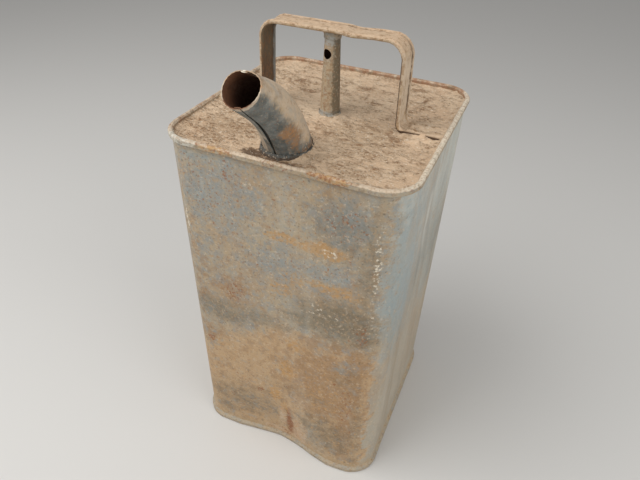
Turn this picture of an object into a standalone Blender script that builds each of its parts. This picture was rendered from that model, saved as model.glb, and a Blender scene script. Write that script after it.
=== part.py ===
"""Kerosene can: a square can of seamed sheet steel with a bent spout, an air tube and a fixed strap handle.

Metres, +Z up, the can stands on z = 0 and its spout reaches over the -Y side.
"""

import math

import bmesh
import bpy
from mathutils import Matrix, Vector

# Sheet, clearances and cuts
SHEET = 0.0005
GAP = 0.0003
OVERRUN = 0.008
WELD = 0.00001
SHARP_ANGLE = 40.0

# Can body, measured outside the wrapped wall and over the upper seam
BODY_WIDTH = 0.1790
BODY_HEIGHT = 0.3228
CORNER_RADIUS = 0.0225
CORNER_STEPS = 8
SIDE_STATION_SHARES = (-0.72, -0.36, 0.0, 0.36, 0.72)
WALL_ROW_SHARES = (0.05, 0.1, 0.155, 0.22, 0.32, 0.43, 0.54, 0.64, 0.74, 0.83, 0.92)

# Double seams that join the two end panels to the wall
SEAM_HEIGHT = 0.0045
PANEL_RECESS = 0.0045
PANEL_BEND_RADIUS = 0.0012
BEND_STEPS = 2

# Lock seam that closes the wall, in the middle of the rear
LOCK_WIDTH = 0.0070
LOCK_SLOPE = 0.0050
LOCK_RUNOUT = 0.0020
LOCK_TIP_RELIEF = 0.0004
LOCK_SOLDER_SLANT = 0.0008

# Knock at the foot of the front, which folds wall, seam and bottom panel inwards
KNOCK_X = -0.0040
KNOCK_DEPTH = 0.0070
KNOCK_HALF_WIDTH = 0.0430
KNOCK_HEIGHT = 0.0800
KNOCK_REACH = 0.0400
KNOCK_FOLD = 0.0060
KNOCK_FADE_POWER = 1.5
FACE_DEPTH = 0.0020
BULGE_X = 0.0500
BULGE_DEPTH = 0.0026
BULGE_HALF_WIDTH = 0.0350

# Crease to the right of the knock, a slanting step where the sheet folded
CREASE_FROM_KNOCK = 0.0045
CREASE_LEAN = 0.0160
CREASE_DEPTH = 0.0022
CREASE_WIDTH = 0.0050
CREASE_RUNOUT = 0.0450
CREASE_FOOT = 0.0140
CREASE_FULL_SHARE = 0.5
CREASE_STATIONS = 3

# Blow on the upright corner between front and right side
CORNER_BLOW_HEIGHT = 0.2450
CORNER_BLOW_DEPTH = 0.0030
CORNER_BLOW_REACH = 0.0550
CORNER_BLOW_HALF_WIDTH = 0.0300

# Shallow hollow in the right side
HOLLOW_Y = 0.0200
HOLLOW_Z = 0.2300
HOLLOW_DEPTH = 0.0024
HOLLOW_HALF_WIDTH = 0.0550
HOLLOW_HALF_HEIGHT = 0.0900
HOLLOW_START_SHARE = 0.25

# Spout: two pressed halves, each lapped over the other along one seam
SPOUT_X = -0.0045
SPOUT_FROM_FRONT = 0.0290
SPOUT_TURN = -4.0
SPOUT_BASE_RADIUS = 0.0169
SPOUT_MOUTH_RADIUS = 0.0123
SPOUT_BASE_TILT = 17.0
SPOUT_MOUTH_TILT = 54.0
SPOUT_BEND_RADIUS = 0.0890
SPOUT_STRAIGHT = 0.0200
SPOUT_MOUTH_BEVEL = 10.0
SPOUT_FLAT_LENGTH = 0.0320
SPOUT_FLAT_SHARE = 0.17
SPOUT_TAIL = 0.0030
SPOUT_BEND_STEPS = 11
SPOUT_HALF_STEPS = 12
SPOUT_LAP = 0.0052
SPOUT_JOGGLE = 0.0012
SPOUT_SEAM_TURN = 5.0
SPOUT_SEAM_TWIST = 14.5
SPOUT_TWIST_POWER = 3.0
SPOUT_SEAM_OPENING = 0.0014
SPOUT_OPEN_LENGTH = 0.0600
SPOUT_SOLDER_WIDTH = 0.0015
SPOUT_SOLDER_HEIGHT = 0.0034
SOLDER_TOP_SHARE = 0.35

# Air tube between the top panel and the handle
TUBE_BASE_RADIUS = 0.0077
TUBE_MIDDLE_RADIUS = 0.0066
TUBE_TOP_RADIUS = 0.0054
TUBE_MIDDLE_SHARE = 0.45
TUBE_TAIL = 0.0025
TUBE_STEPS = 28
AIR_HOLE_RADIUS = 0.0035
AIR_HOLE_DROP = 0.0185
AIR_HOLE_TURN = -19.0
AIR_HOLE_STEPS = 20
TUBE_FOOT_SOLDER_WIDTH = 0.0011
TUBE_FOOT_SOLDER_HEIGHT = 0.0030
TUBE_TOP_SOLDER_WIDTH = 0.0010
TUBE_TOP_SOLDER_HEIGHT = 0.0040

# Handle: a strap with a round bead along both edges
HANDLE_X = 0.0015
HANDLE_Y = 0.0006
HANDLE_SKEW = 4.0
HANDLE_RISE = 0.0604
HANDLE_TOP_HALF_WIDTH = 0.0545
HANDLE_LEG_HALF_WIDTH = 0.0560
HANDLE_END_CLEARANCE = 0.0043
STRAP_WIDTH = 0.0191
STRAP_WEB = 0.0012
STRAP_BEAD_RADIUS = 0.0016
STRAP_BEAD_STEPS = 9
HANDLE_LEFT_BEND_RADIUS = 0.0115
HANDLE_RIGHT_BEND_RADIUS = 0.0130
HANDLE_FOOT_BEND_RADIUS = 0.0060
HANDLE_BEND_STEPS = 5
HANDLE_DIP = 0.0010
HANDLE_DIP_SHARE = 0.28
HANDLE_DIP_BEND_RADIUS = 0.0300

PITCH = SHEET + GAP
WALL_HALF = BODY_WIDTH / 2 - SHEET / 2
WALL_CORNER_RADIUS = CORNER_RADIUS - SHEET / 2
PANEL_TOP = BODY_HEIGHT - PANEL_RECESS
PANEL_UNDERSIDE = PANEL_TOP - SHEET
SPOUT_Y = SPOUT_FROM_FRONT - BODY_WIDTH / 2
HANDLE_TOP = BODY_HEIGHT + HANDLE_RISE
HANDLE_FOOT_REACH = BODY_WIDTH / 2 - HANDLE_END_CLEARANCE

PAINTED_STEEL = ("painted_steel", (0.22, 0.25, 0.25), 0.65, 0.3)
DUSTY_STEEL = ("dusty_steel", (0.40, 0.30, 0.21), 0.9, 0.1)
DARK_PAINTED_STEEL = ("dark_painted_steel", (0.15, 0.18, 0.18), 0.55, 0.4)
SOLDER = ("solder", (0.30, 0.31, 0.30), 0.5, 0.8)


def clear_scene():
    """Remove what the scene holds and return the part and cutter collections."""
    for thing in list(bpy.data.objects):
        bpy.data.objects.remove(thing, do_unlink=True)
    part = bpy.data.collections.new("kerosene_can")
    cutters = bpy.data.collections.new("cutters")
    bpy.context.scene.collection.children.link(part)
    bpy.context.scene.collection.children.link(cutters)
    return part, cutters


def material(finish):
    """A plain Principled material from a finish's name, colour, roughness and metallic value."""
    name, colour, roughness, metallic = finish
    made = bpy.data.materials.get(name) or bpy.data.materials.new(name)
    made.use_nodes = True
    shader = made.node_tree.nodes["Principled BSDF"]
    shader.inputs["Base Color"].default_value = (*colour, 1.0)
    shader.inputs["Roughness"].default_value = roughness
    shader.inputs["Metallic"].default_value = metallic
    return made


def add_object(name, mesh, collection, finish=None):
    """Put a mesh in a collection as a named object; a cutter has no finish."""
    made = bpy.data.objects.new(name, mesh)
    collection.objects.link(made)
    if finish:
        mesh.materials.append(material(finish))
        mesh.shade_smooth()
        mesh.set_sharp_from_angle(angle=math.radians(SHARP_ANGLE))
    else:
        made.hide_render = True
        made.display_type = "WIRE"
    return made


def cut(target, cutter):
    """Take the cutter's shape out of the target."""
    step = target.modifiers.new("cut_" + cutter.name, "BOOLEAN")
    step.operation = "DIFFERENCE"
    step.solver = "EXACT"
    step.object = cutter


def thicken(target):
    """Give an open surface the thickness of its sheet, half to each side."""
    step = target.modifiers.new("sheet", "SOLIDIFY")
    step.thickness = SHEET
    step.offset = 0
    step.use_even_offset = True
    step.use_quality_normals = True


def smooth_share(value):
    """Ease a share from 0 to 1 with level ends."""
    held = min(max(value, 0), 1)
    return held * held * (3 - 2 * held)


def rounded_line(corners, steps):
    """Points of a line whose corners (x, y, radius) are rounded by facets that touch the arc.

    The facets at both ends of a bend lie on the straight runs, so lines a pitch apart stay a pitch apart.
    """
    points = []
    for index, (x, y, radius) in enumerate(corners):
        here = Vector((x, y))
        if not radius or index in (0, len(corners) - 1):
            points.append(here)
            continue
        back = (Vector(corners[index - 1][:2]) - here).normalized()
        ahead = (Vector(corners[index + 1][:2]) - here).normalized()
        turn = math.pi - back.angle(ahead)
        reach = radius / math.cos(turn / 2)
        centre = here + (back + ahead).normalized() * reach
        side = 1 if back.x * ahead.y - back.y * ahead.x < 0 else -1
        spoke = here + back * radius * math.tan(turn / 2) - centre
        for step in range(steps):
            angle = side * turn * (step + 0.5) / steps
            arm = Matrix.Rotation(angle, 2) @ spoke
            points.append(centre + arm / math.cos(turn / steps / 2))
    return points


def curve_line(name, points, closed):
    """A flat curve object of straight runs through the points."""
    curve = bpy.data.curves.new(name, "CURVE")
    curve.dimensions = "2D"
    curve.fill_mode = "NONE"
    spline = curve.splines.new("POLY")
    spline.points.add(len(points) - 1)
    for target, point in zip(spline.points, points):
        target.co = (point[0], point[1], 0, 1)
    spline.use_cyclic_u = closed
    made = bpy.data.objects.new(name, curve)
    bpy.context.scene.collection.objects.link(made)
    return made


def swept_mesh(name, section, path, closed_section=False, closed_path=False):
    """Sweep a section (outwards, up) along a flat anticlockwise path and return the welded mesh."""
    outwards = -1 if closed_path else 1
    places = [(outwards * point[0], point[1]) for point in section]
    guide = curve_line(name + "_section", places, closed_section)
    rail = curve_line(name + "_path", path, closed_path)
    rail.data.bevel_mode = "OBJECT"
    rail.data.bevel_object = guide
    rail.data.use_fill_caps = closed_section and not closed_path
    bpy.context.view_layer.update()
    graph = bpy.context.evaluated_depsgraph_get()
    mesh = bpy.data.meshes.new_from_object(rail.evaluated_get(graph))
    mesh.name = name
    bpy.data.objects.remove(rail, do_unlink=True)
    bpy.data.objects.remove(guide, do_unlink=True)
    body = bmesh.new()
    body.from_mesh(mesh)
    bmesh.ops.remove_doubles(body, verts=body.verts, dist=WELD)
    bmesh.ops.recalc_face_normals(body, faces=body.faces)
    body.to_mesh(mesh)
    body.free()
    return mesh


def loft_mesh(name, rings, closed):
    """Skin rings of equally many points; closed joins each ring's last point to its first."""
    body = bmesh.new()
    rows = [[body.verts.new(point) for point in ring] for ring in rings]
    count = len(rings[0])
    for low, high in zip(rows, rows[1:]):
        for index in range(count if closed else count - 1):
            after = (index + 1) % count
            body.faces.new((low[index], low[after], high[after], high[index]))
    bmesh.ops.recalc_face_normals(body, faces=body.faces)
    mesh = bpy.data.meshes.new(name)
    body.to_mesh(mesh)
    body.free()
    return mesh


def turned_object(name, profile, collection, finish, steps):
    """A closed profile (radius, height), listed from top to bottom outside, turned about Z."""
    body = bmesh.new()
    ring = [body.verts.new((radius, 0, height)) for radius, height in profile]
    for first, second in zip(ring, ring[1:] + ring[:1]):
        if first.co.x or second.co.x:
            body.edges.new((first, second))
    mesh = bpy.data.meshes.new(name)
    body.to_mesh(mesh)
    body.free()
    made = add_object(name, mesh, collection, finish)
    turn = made.modifiers.new("turn", "SCREW")
    turn.steps = steps
    turn.render_steps = steps
    turn.use_merge_vertices = True
    turn.merge_threshold = WELD
    turn.use_smooth_shade = True
    return made


def fade(distance, reach):
    """1 at no distance, 0 from the reach on."""
    return smooth_share(1 - abs(distance) / reach)


def dented(point):
    """Where the knocks moved a point of the can; the heights stay, so the foot stays level."""
    x, y, z = point
    front = smooth_share((-y - (BODY_WIDTH / 2 - KNOCK_REACH)) / (KNOCK_REACH - FACE_DEPTH))
    low = max(0, 1 - z / KNOCK_HEIGHT)
    from_fold = math.sqrt((x - KNOCK_X) ** 2 + KNOCK_FOLD ** 2) - KNOCK_FOLD
    knock = max(0, 1 - from_fold / KNOCK_HALF_WIDTH) * KNOCK_DEPTH * low ** KNOCK_FADE_POWER
    bulge = fade(x - BULGE_X, BULGE_HALF_WIDTH) * BULGE_DEPTH * low
    past_crease = x - (KNOCK_X + CREASE_FROM_KNOCK + CREASE_LEAN * low)
    step = smooth_share(past_crease / CREASE_WIDTH) * fade(past_crease, CREASE_RUNOUT)
    step *= CREASE_DEPTH * smooth_share(low / CREASE_FULL_SHARE) * smooth_share(z / CREASE_FOOT)
    moved = Vector((x, y + front * (knock - bulge - step), z))
    corner = BODY_WIDTH / 2 - CORNER_RADIUS / 2
    aside = math.hypot(x - corner, y + corner)
    blow = fade(aside, CORNER_BLOW_HALF_WIDTH) * fade(z - CORNER_BLOW_HEIGHT, CORNER_BLOW_REACH)
    inwards = Vector((-1, 1, 0)).normalized()
    moved += inwards * blow * CORNER_BLOW_DEPTH
    start = BODY_WIDTH * HOLLOW_START_SHARE
    right = smooth_share((x - start) / (BODY_WIDTH / 2 - FACE_DEPTH - start))
    hollow = fade(y - HOLLOW_Y, HOLLOW_HALF_WIDTH) * fade(z - HOLLOW_Z, HOLLOW_HALF_HEIGHT)
    moved.x -= right * hollow * HOLLOW_DEPTH
    return moved


def dent(mesh):
    """Move every point of a mesh to where the knocks put it."""
    for vertex in mesh.vertices:
        vertex.co = dented(vertex.co)


def side_stations():
    """Places along a plain side, and along the front, which has more of them at its folds."""
    straight = BODY_WIDTH / 2 - CORNER_RADIUS
    places = [share * straight for share in SIDE_STATION_SHARES]
    crease = KNOCK_X + CREASE_FROM_KNOCK
    folds = [KNOCK_X - KNOCK_FOLD, KNOCK_X]
    folds += [crease + CREASE_LEAN * step / CREASE_STATIONS for step in range(CREASE_STATIONS + 1)]
    folds += [BULGE_X - BULGE_HALF_WIDTH / 2, BULGE_X, (BULGE_X + straight) / 2]
    clear = [place for place in places if min(abs(place - fold) for fold in folds) > KNOCK_FOLD]
    return places, sorted(clear + folds)


def body_path(open_at=None):
    """The wall's rounded square, anticlockwise from the rear; open_at gives both ends at the lock seam."""
    half = WALL_HALF
    radius = WALL_CORNER_RADIUS
    plain, front = side_stations()
    rear = [(place, half, 0) for place in reversed(plain)]
    rear_right = []
    if open_at:
        left_end, right_start, slope_end = open_at
        corners = [(left_end, half, 0)]
        corners += [stop for stop in rear if stop[0] < left_end - LOCK_SLOPE]
        rear_right = [stop for stop in rear if stop[0] > slope_end + LOCK_SLOPE]
    else:
        corners = list(rear)
    corners.append((-half, half, radius))
    corners += [(-half, place, 0) for place in reversed(plain)]
    corners.append((-half, -half, radius))
    corners += [(place, -half, 0) for place in front]
    corners.append((half, -half, radius))
    corners += [(half, place, 0) for place in plain]
    corners.append((half, half, radius))
    corners += rear_right
    if open_at:
        corners += [(slope_end, half, 0), (right_start, half, 0)]
    else:
        corners.append(rear[0])
    line = rounded_line(corners, CORNER_STEPS)
    return line if open_at else line[:-1]


def end_panel_section():
    """Half section of the upper end panel: panel, chuck wall, over the body hook and back under it."""
    crown = BODY_HEIGHT - SHEET / 2
    skirt = BODY_HEIGHT - SEAM_HEIGHT + SHEET / 2
    floor = PANEL_TOP - SHEET / 2
    hook_tip = crown - PITCH - SHEET / 2 - GAP
    inner_end = -PITCH - PANEL_BEND_RADIUS * 2
    return rounded_line(
        [
            (inner_end, floor, 0),
            (-PITCH, floor, PANEL_BEND_RADIUS),
            (-PITCH, crown, PITCH * 2),
            (PITCH * 3, crown, PITCH * 2),
            (PITCH * 3, skirt, PITCH),
            (PITCH, skirt, PITCH),
            (PITCH, hook_tip, 0),
        ],
        BEND_STEPS,
    )


def wall_section():
    """Section of the wall from its lower hook to its upper one, with rows for the dents between."""
    crown = BODY_HEIGHT - SHEET / 2 - PITCH
    hook_tip = BODY_HEIGHT - SEAM_HEIGHT + SHEET + GAP
    lock_flat, lock_raised = lock_rows()
    lower = [
        (PITCH * 2, BODY_HEIGHT - hook_tip, 0),
        (PITCH * 2, BODY_HEIGHT - crown, PITCH),
        (0, BODY_HEIGHT - crown, PITCH),
        (0, lock_flat, 0),
        (0, lock_raised, 0),
    ]
    rows = [(0, BODY_HEIGHT * share, 0) for share in WALL_ROW_SHARES]
    upper = [(out, BODY_HEIGHT - height, bend) for out, height, bend in reversed(lower)]
    return rounded_line(lower + rows + upper, BEND_STEPS)


def lock_rows():
    """Heights between which the lower end of the lock seam rises from the plain wall."""
    flat = SEAM_HEIGHT + GAP
    return flat, flat + LOCK_RUNOUT


def extend_edge(body, column, steps):
    """Run a column of points on through a list of (x, y) places, one strip of faces each."""
    for place in steps:
        edges = [
            edge
            for edge in body.edges
            if edge.verts[0] in column and edge.verts[1] in column
        ]
        made = bmesh.ops.extrude_edge_only(body, edges=edges)["geom"]
        column = [part for part in made if isinstance(part, bmesh.types.BMVert)]
        for vertex in column:
            vertex.co.x, vertex.co.y = place


def fold_lock_seam(mesh, left_end, right_start):
    """Hook the two ends of the wall into each other at the rear, outside the wall."""
    outside = WALL_HALF + PITCH * 3
    raised = lock_rows()[1] - WELD
    body = bmesh.new()
    body.from_mesh(mesh)
    rear = [vertex for vertex in body.verts if vertex.co.y > 0 and raised < vertex.co.z < BODY_HEIGHT - raised]
    left_column = [vertex for vertex in rear if abs(vertex.co.x - left_end) < WELD]
    right_column = [vertex for vertex in rear if abs(vertex.co.x - right_start) < WELD]
    for vertex in right_column:
        vertex.co.y = outside
    left_hook = rounded_line(
        [
            (left_end - PITCH, WALL_HALF, 0),
            (left_end + PITCH, WALL_HALF, PITCH),
            (left_end + PITCH, WALL_HALF + PITCH * 2, PITCH),
            (left_end - LOCK_WIDTH + LOCK_TIP_RELIEF, WALL_HALF + PITCH * 2, 0),
        ],
        BEND_STEPS,
    )
    right_hook = rounded_line(
        [
            (right_start, outside, 0),
            (right_start - LOCK_WIDTH - PITCH, outside, PITCH),
            (right_start - LOCK_WIDTH - PITCH, WALL_HALF + PITCH, PITCH),
            (left_end - LOCK_TIP_RELIEF, WALL_HALF + PITCH, 0),
        ],
        BEND_STEPS,
    )
    extend_edge(body, left_column, left_hook[1:])
    extend_edge(body, right_column, right_hook[1:])
    bmesh.ops.recalc_face_normals(body, faces=body.faces)
    body.to_mesh(mesh)
    body.free()


def make_body_wall(part):
    """One sheet wrapped round the can, hooked outwards at both rims and locked to itself at the rear."""
    left_end = -GAP / 2
    right_start = GAP / 2
    slope_end = right_start + LOCK_SLOPE
    path = body_path((left_end, right_start, slope_end))
    mesh = swept_mesh("body_wall", wall_section(), path)
    fold_lock_seam(mesh, left_end, right_start)
    dent(mesh)
    thicken(add_object("body_wall", mesh, part, PAINTED_STEEL))


def make_lock_solder(part):
    """Solder that stops the open ends of the lock seam, above the foot seam and below the upper one."""
    flat, raised = lock_rows()
    wall = BODY_WIDTH / 2 + GAP
    outside = WALL_HALF + PITCH * 3
    right = -GAP - SHEET / 2
    left = right - LOCK_WIDTH - PITCH
    high = raised - GAP
    slant = LOCK_SOLDER_SLANT
    inner = [(left, wall, flat), (right, wall, flat), (right, wall, high), (left, wall, high)]
    outer = [(left + slant, outside, flat), (right, outside, flat)]
    outer += [(right, outside, high), (left + slant, outside, high)]
    for name, turned in (("lock_seam_foot_solder", False), ("lock_seam_top_solder", True)):
        rings = [[Vector(point) for point in ring] for ring in (inner, outer)]
        if turned:
            for point in rings[0] + rings[1]:
                point.z = BODY_HEIGHT - point.z
        mesh = loft_mesh(name, rings, True)
        close_ends(mesh)
        add_object(name, mesh, part, SOLDER)


def end_panel_mesh(name):
    """The seamed edge swept round the can, with the flat panel filled in."""
    mesh = swept_mesh(name, end_panel_section(), body_path(), closed_path=True)
    body = bmesh.new()
    body.from_mesh(mesh)
    lowest = PANEL_TOP - SHEET / 2 + WELD
    inner = [
        edge
        for edge in body.edges
        if edge.is_boundary and all(vertex.co.z < lowest for vertex in edge.verts)
    ]
    bmesh.ops.edgeloop_fill(body, edges=inner)
    bmesh.ops.recalc_face_normals(body, faces=body.faces)
    body.to_mesh(mesh)
    body.free()
    return mesh


def make_bottom_panel(part):
    """The lower end panel, the upper one's section turned over."""
    mesh = end_panel_mesh("bottom_panel")
    mesh.transform(Matrix.Translation((0, 0, BODY_HEIGHT)) @ Matrix.Scale(-1, 4, (0, 0, 1)))
    mesh.flip_normals()
    dent(mesh)
    thicken(add_object("bottom_panel", mesh, part, PAINTED_STEEL))


def spout_frame(along):
    """Centre, tilt in radians and outer radius of the spout at a length above the panel."""
    base = math.radians(SPOUT_BASE_TILT)
    mouth = math.radians(SPOUT_MOUTH_TILT)
    bend = SPOUT_BEND_RADIUS * (mouth - base)
    length = bend + SPOUT_STRAIGHT
    turned = min(max(along, 0), bend)
    tilt = base + turned / SPOUT_BEND_RADIUS
    forward = SPOUT_BEND_RADIUS * (math.cos(base) - math.cos(tilt))
    height = SPOUT_BEND_RADIUS * (math.sin(tilt) - math.sin(base))
    straight = along - turned
    centre = Vector((0, -forward - straight * math.sin(tilt), height + straight * math.cos(tilt)))
    radius = SPOUT_BASE_RADIUS + (SPOUT_MOUTH_RADIUS - SPOUT_BASE_RADIUS) * along / length
    return centre, tilt, radius, length


def spout_lengths():
    """Lengths along the spout at which its sections stand, past both of its cut ends."""
    length = spout_frame(0)[3]
    bend = length - SPOUT_STRAIGHT
    lengths = [-OVERRUN - SPOUT_BASE_RADIUS / 2]
    lengths += [bend * step / SPOUT_BEND_STEPS for step in range(SPOUT_BEND_STEPS + 1)]
    lengths += [length - SPOUT_STRAIGHT / 2, length + OVERRUN]
    return lengths


def spout_ring(along, angles, insets):
    """A section of the spout; angle 0 faces the inside of the bend and grows towards +X.

    Towards the mouth the side that faces away from the inside of the bend is pressed flatter.
    """
    centre, tilt, radius, length = spout_frame(along)
    across = Vector((0, -math.cos(tilt), -math.sin(tilt)))
    aside = Vector((1, 0, 0))
    press = radius * SPOUT_FLAT_SHARE * smooth_share(1 - (length - along) / SPOUT_FLAT_LENGTH)
    ring = []
    for angle, inset in zip(angles, insets):
        place = centre + (radius - inset) * (across * math.cos(angle) + aside * math.sin(angle))
        ring.append(place + across * press * max(0, -math.cos(angle)) ** 3)
    return ring


def seam_turn(along):
    """How far the seams have turned round the spout, in radians."""
    share = max(along, 0) / spout_frame(0)[3]
    return math.radians(SPOUT_SEAM_TURN + SPOUT_SEAM_TWIST * share ** SPOUT_TWIST_POWER)


def seam_lift(along):
    """How far the sprung seam of the spout stands open, from its solder up."""
    share = min(max((along - SPOUT_SOLDER_HEIGHT) / SPOUT_OPEN_LENGTH, 0), 1)
    return SPOUT_SEAM_OPENING * math.sin(math.pi * share)


def spout_place():
    """The transform from the spout's own frame, with its base at the origin, to the can."""
    place = Matrix.Translation((SPOUT_X, SPOUT_Y, PANEL_TOP))
    return place @ Matrix.Rotation(math.radians(SPOUT_TURN), 4, "Z")


def facets_round(steps):
    """Angles round a circle and the factor that keeps the facets between them outside it."""
    return [math.tau * step / steps for step in range(steps)], 1 / math.cos(math.pi / steps)


def spout_cutters(cutters):
    """Solids that trim the spout at its mouth and below the panel, and open the panel round it."""
    centre, tilt, radius, length = spout_frame(spout_frame(0)[3])
    size = SPOUT_BASE_RADIUS * 4
    bpy.ops.mesh.primitive_cube_add(size=size)
    mouth = make_cutter("mouth_cut", cutters)
    mouth.data.transform(Matrix.Translation((0, 0, size / 2)))
    lean = tilt - math.radians(SPOUT_MOUTH_BEVEL)
    mouth.matrix_world = spout_place() @ Matrix.Translation(centre) @ Matrix.Rotation(lean, 4, "X")
    bpy.ops.mesh.primitive_cube_add(size=size)
    foot = make_cutter("foot_cut", cutters)
    foot.location = (SPOUT_X, SPOUT_Y, PANEL_UNDERSIDE - SPOUT_TAIL - size / 2)
    whole, outside = facets_round(SPOUT_HALF_STEPS * 2)
    lengths = [spout_lengths()[0], 0, SPOUT_BASE_RADIUS]
    clear = -(SPOUT_BASE_RADIUS * (outside - 1) + GAP)
    rings = [spout_ring(along, whole, [clear] * len(whole)) for along in lengths]
    opening = add_object("spout_hole", loft_mesh("spout_hole", rings, True), cutters)
    close_ends(opening.data)
    opening.matrix_world = spout_place()
    return mouth, foot, opening


def close_ends(mesh):
    """Fill the open ends of a mesh and face it outwards."""
    body = bmesh.new()
    body.from_mesh(mesh)
    bmesh.ops.holes_fill(body, edges=body.edges)
    bmesh.ops.recalc_face_normals(body, faces=body.faces)
    body.to_mesh(mesh)
    body.free()


def make_spout(part, mouth, foot):
    """Two tapered, bent half tubes, each with one edge set in below the plain edge of the other.

    The left one's plain edge, on the inside of the bend, has sprung open.
    """
    lap = SPOUT_LAP / SPOUT_BASE_RADIUS
    clear = GAP * 2 / SPOUT_BASE_RADIUS
    joggle = SPOUT_JOGGLE / SPOUT_BASE_RADIUS
    middle = SHEET / 2
    set_in = middle + PITCH
    run = math.pi - clear - joggle
    half = [-lap, 0] + [joggle + run * step / SPOUT_HALF_STEPS for step in range(SPOUT_HALF_STEPS + 1)]
    insets = [set_in] * 2 + [middle] * (SPOUT_HALF_STEPS + 1)
    right_rings = []
    left_rings = []
    for along in spout_lengths():
        turn = seam_turn(along)
        lift = seam_lift(along)
        sprung = insets[:-2] + [middle - lift / 2, middle - lift]
        right_rings.append(spout_ring(along, [turn + angle for angle in half], insets))
        left_rings.append(spout_ring(along, [turn + math.pi + angle for angle in half], sprung))
    for name, rings in (("spout_right_half", right_rings), ("spout_left_half", left_rings)):
        shell = add_object(name, loft_mesh(name, rings, False), part, DARK_PAINTED_STEEL)
        shell.matrix_world = spout_place()
        thicken(shell)
        cut(shell, mouth)
        cut(shell, foot)


def make_cutter(name, cutters):
    """Name the primitive just added and move it among the cutters."""
    cutter = bpy.context.object
    cutter.name = name
    for owner in list(cutter.users_collection):
        owner.objects.unlink(cutter)
    cutters.objects.link(cutter)
    cutter.hide_render = True
    cutter.display_type = "WIRE"
    return cutter


def make_top_panel(part, cutters, spout_hole):
    """The upper end panel, opened for the spout and the air tube."""
    mesh = end_panel_mesh("top_panel")
    panel = add_object("top_panel", mesh, part, DUSTY_STEEL)
    thicken(panel)
    bpy.ops.mesh.primitive_cylinder_add(
        vertices=TUBE_STEPS,
        radius=TUBE_BASE_RADIUS + GAP,
        depth=OVERRUN,
        location=(0, 0, PANEL_TOP),
    )
    cut(panel, make_cutter("tube_hole", cutters))
    cut(panel, spout_hole)


def make_spout_solder(part):
    """A bead of solder round the foot of the spout, clear of spout and panel."""
    whole, outside = facets_round(SPOUT_HALF_STEPS * 2)
    low = GAP
    high = GAP + SPOUT_SOLDER_HEIGHT
    shoulder = SPOUT_SOLDER_WIDTH * SOLDER_TOP_SHARE
    tilt = math.radians(SPOUT_BASE_TILT)
    rings = []
    for height, width in ((low, 0), (high, 0), (high, shoulder), (low, SPOUT_SOLDER_WIDTH)):
        ring = []
        for angle in whole:
            reach = (SPOUT_BASE_RADIUS + GAP) * outside + width
            y = -reach * math.cos(angle) / math.cos(tilt) - height * math.tan(tilt)
            ring.append(Vector((reach * math.sin(angle), y, height)))
        rings.append(ring)
    mesh = loft_mesh("spout_solder", rings + rings[:1], True)
    weld(mesh)
    solder = add_object("spout_solder", mesh, part, SOLDER)
    solder.matrix_world = spout_place()


def weld(mesh):
    """Join the points that coincide and face the mesh outwards."""
    body = bmesh.new()
    body.from_mesh(mesh)
    bmesh.ops.remove_doubles(body, verts=body.verts, dist=WELD)
    bmesh.ops.recalc_face_normals(body, faces=body.faces)
    body.to_mesh(mesh)
    body.free()


def strap_heights():
    """Heights of the undersides of the strap's web and of its beads over the air tube."""
    middle = HANDLE_TOP - STRAP_BEAD_RADIUS
    return middle - STRAP_WEB / 2, middle - STRAP_BEAD_RADIUS


def make_air_tube(part, cutters):
    """The tapered tube with its air hole, open into the can, and its solder at foot and top."""
    web, bead = strap_heights()
    collar = bead - GAP
    top = collar - SHEET - GAP
    bottom = PANEL_UNDERSIDE - TUBE_TAIL
    middle = PANEL_TOP + (top - PANEL_TOP) * TUBE_MIDDLE_SHARE
    outside = [(TUBE_TOP_RADIUS, top), (TUBE_MIDDLE_RADIUS, middle), (TUBE_BASE_RADIUS, bottom)]
    inside = [(radius - SHEET, height) for radius, height in reversed(outside)]
    tube = turned_object("air_tube", outside + inside, part, DARK_PAINTED_STEEL, TUBE_STEPS)
    bpy.ops.mesh.primitive_cylinder_add(
        vertices=AIR_HOLE_STEPS,
        radius=AIR_HOLE_RADIUS,
        depth=TUBE_BASE_RADIUS,
    )
    hole = make_cutter("air_hole", cutters)
    hole.data.transform(Matrix.Rotation(math.radians(90), 4, "X"))
    hole.data.transform(Matrix.Translation((0, -TUBE_BASE_RADIUS, 0)))
    turn = Matrix.Rotation(math.radians(AIR_HOLE_TURN), 4, "Z")
    hole.matrix_world = Matrix.Translation((0, 0, HANDLE_TOP - AIR_HOLE_DROP)) @ turn
    cut(tube, hole)
    foot = TUBE_BASE_RADIUS + GAP
    low = PANEL_TOP + GAP
    turned_object(
        "air_tube_foot_solder",
        [
            (foot, low + TUBE_FOOT_SOLDER_HEIGHT),
            (foot + TUBE_FOOT_SOLDER_WIDTH * SOLDER_TOP_SHARE, low + TUBE_FOOT_SOLDER_HEIGHT / 2),
            (foot + TUBE_FOOT_SOLDER_WIDTH, low),
            (foot, low),
        ],
        part,
        SOLDER,
        TUBE_STEPS,
    )
    neck = TUBE_TOP_RADIUS + GAP * 2
    between_beads = STRAP_WIDTH / 2 - STRAP_BEAD_RADIUS * 2 - GAP - abs(HANDLE_Y)
    turned_object(
        "air_tube_top_solder",
        [
            (0, web - GAP),
            (between_beads, web - GAP),
            (between_beads, collar),
            (neck + TUBE_TOP_SOLDER_WIDTH, collar),
            (neck + TUBE_TOP_SOLDER_WIDTH * SOLDER_TOP_SHARE, top - TUBE_TOP_SOLDER_HEIGHT / 2),
            (neck, top - TUBE_TOP_SOLDER_HEIGHT),
            (neck, top + GAP),
            (0, top + GAP),
        ],
        part,
        SOLDER,
        TUBE_STEPS,
    )


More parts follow.
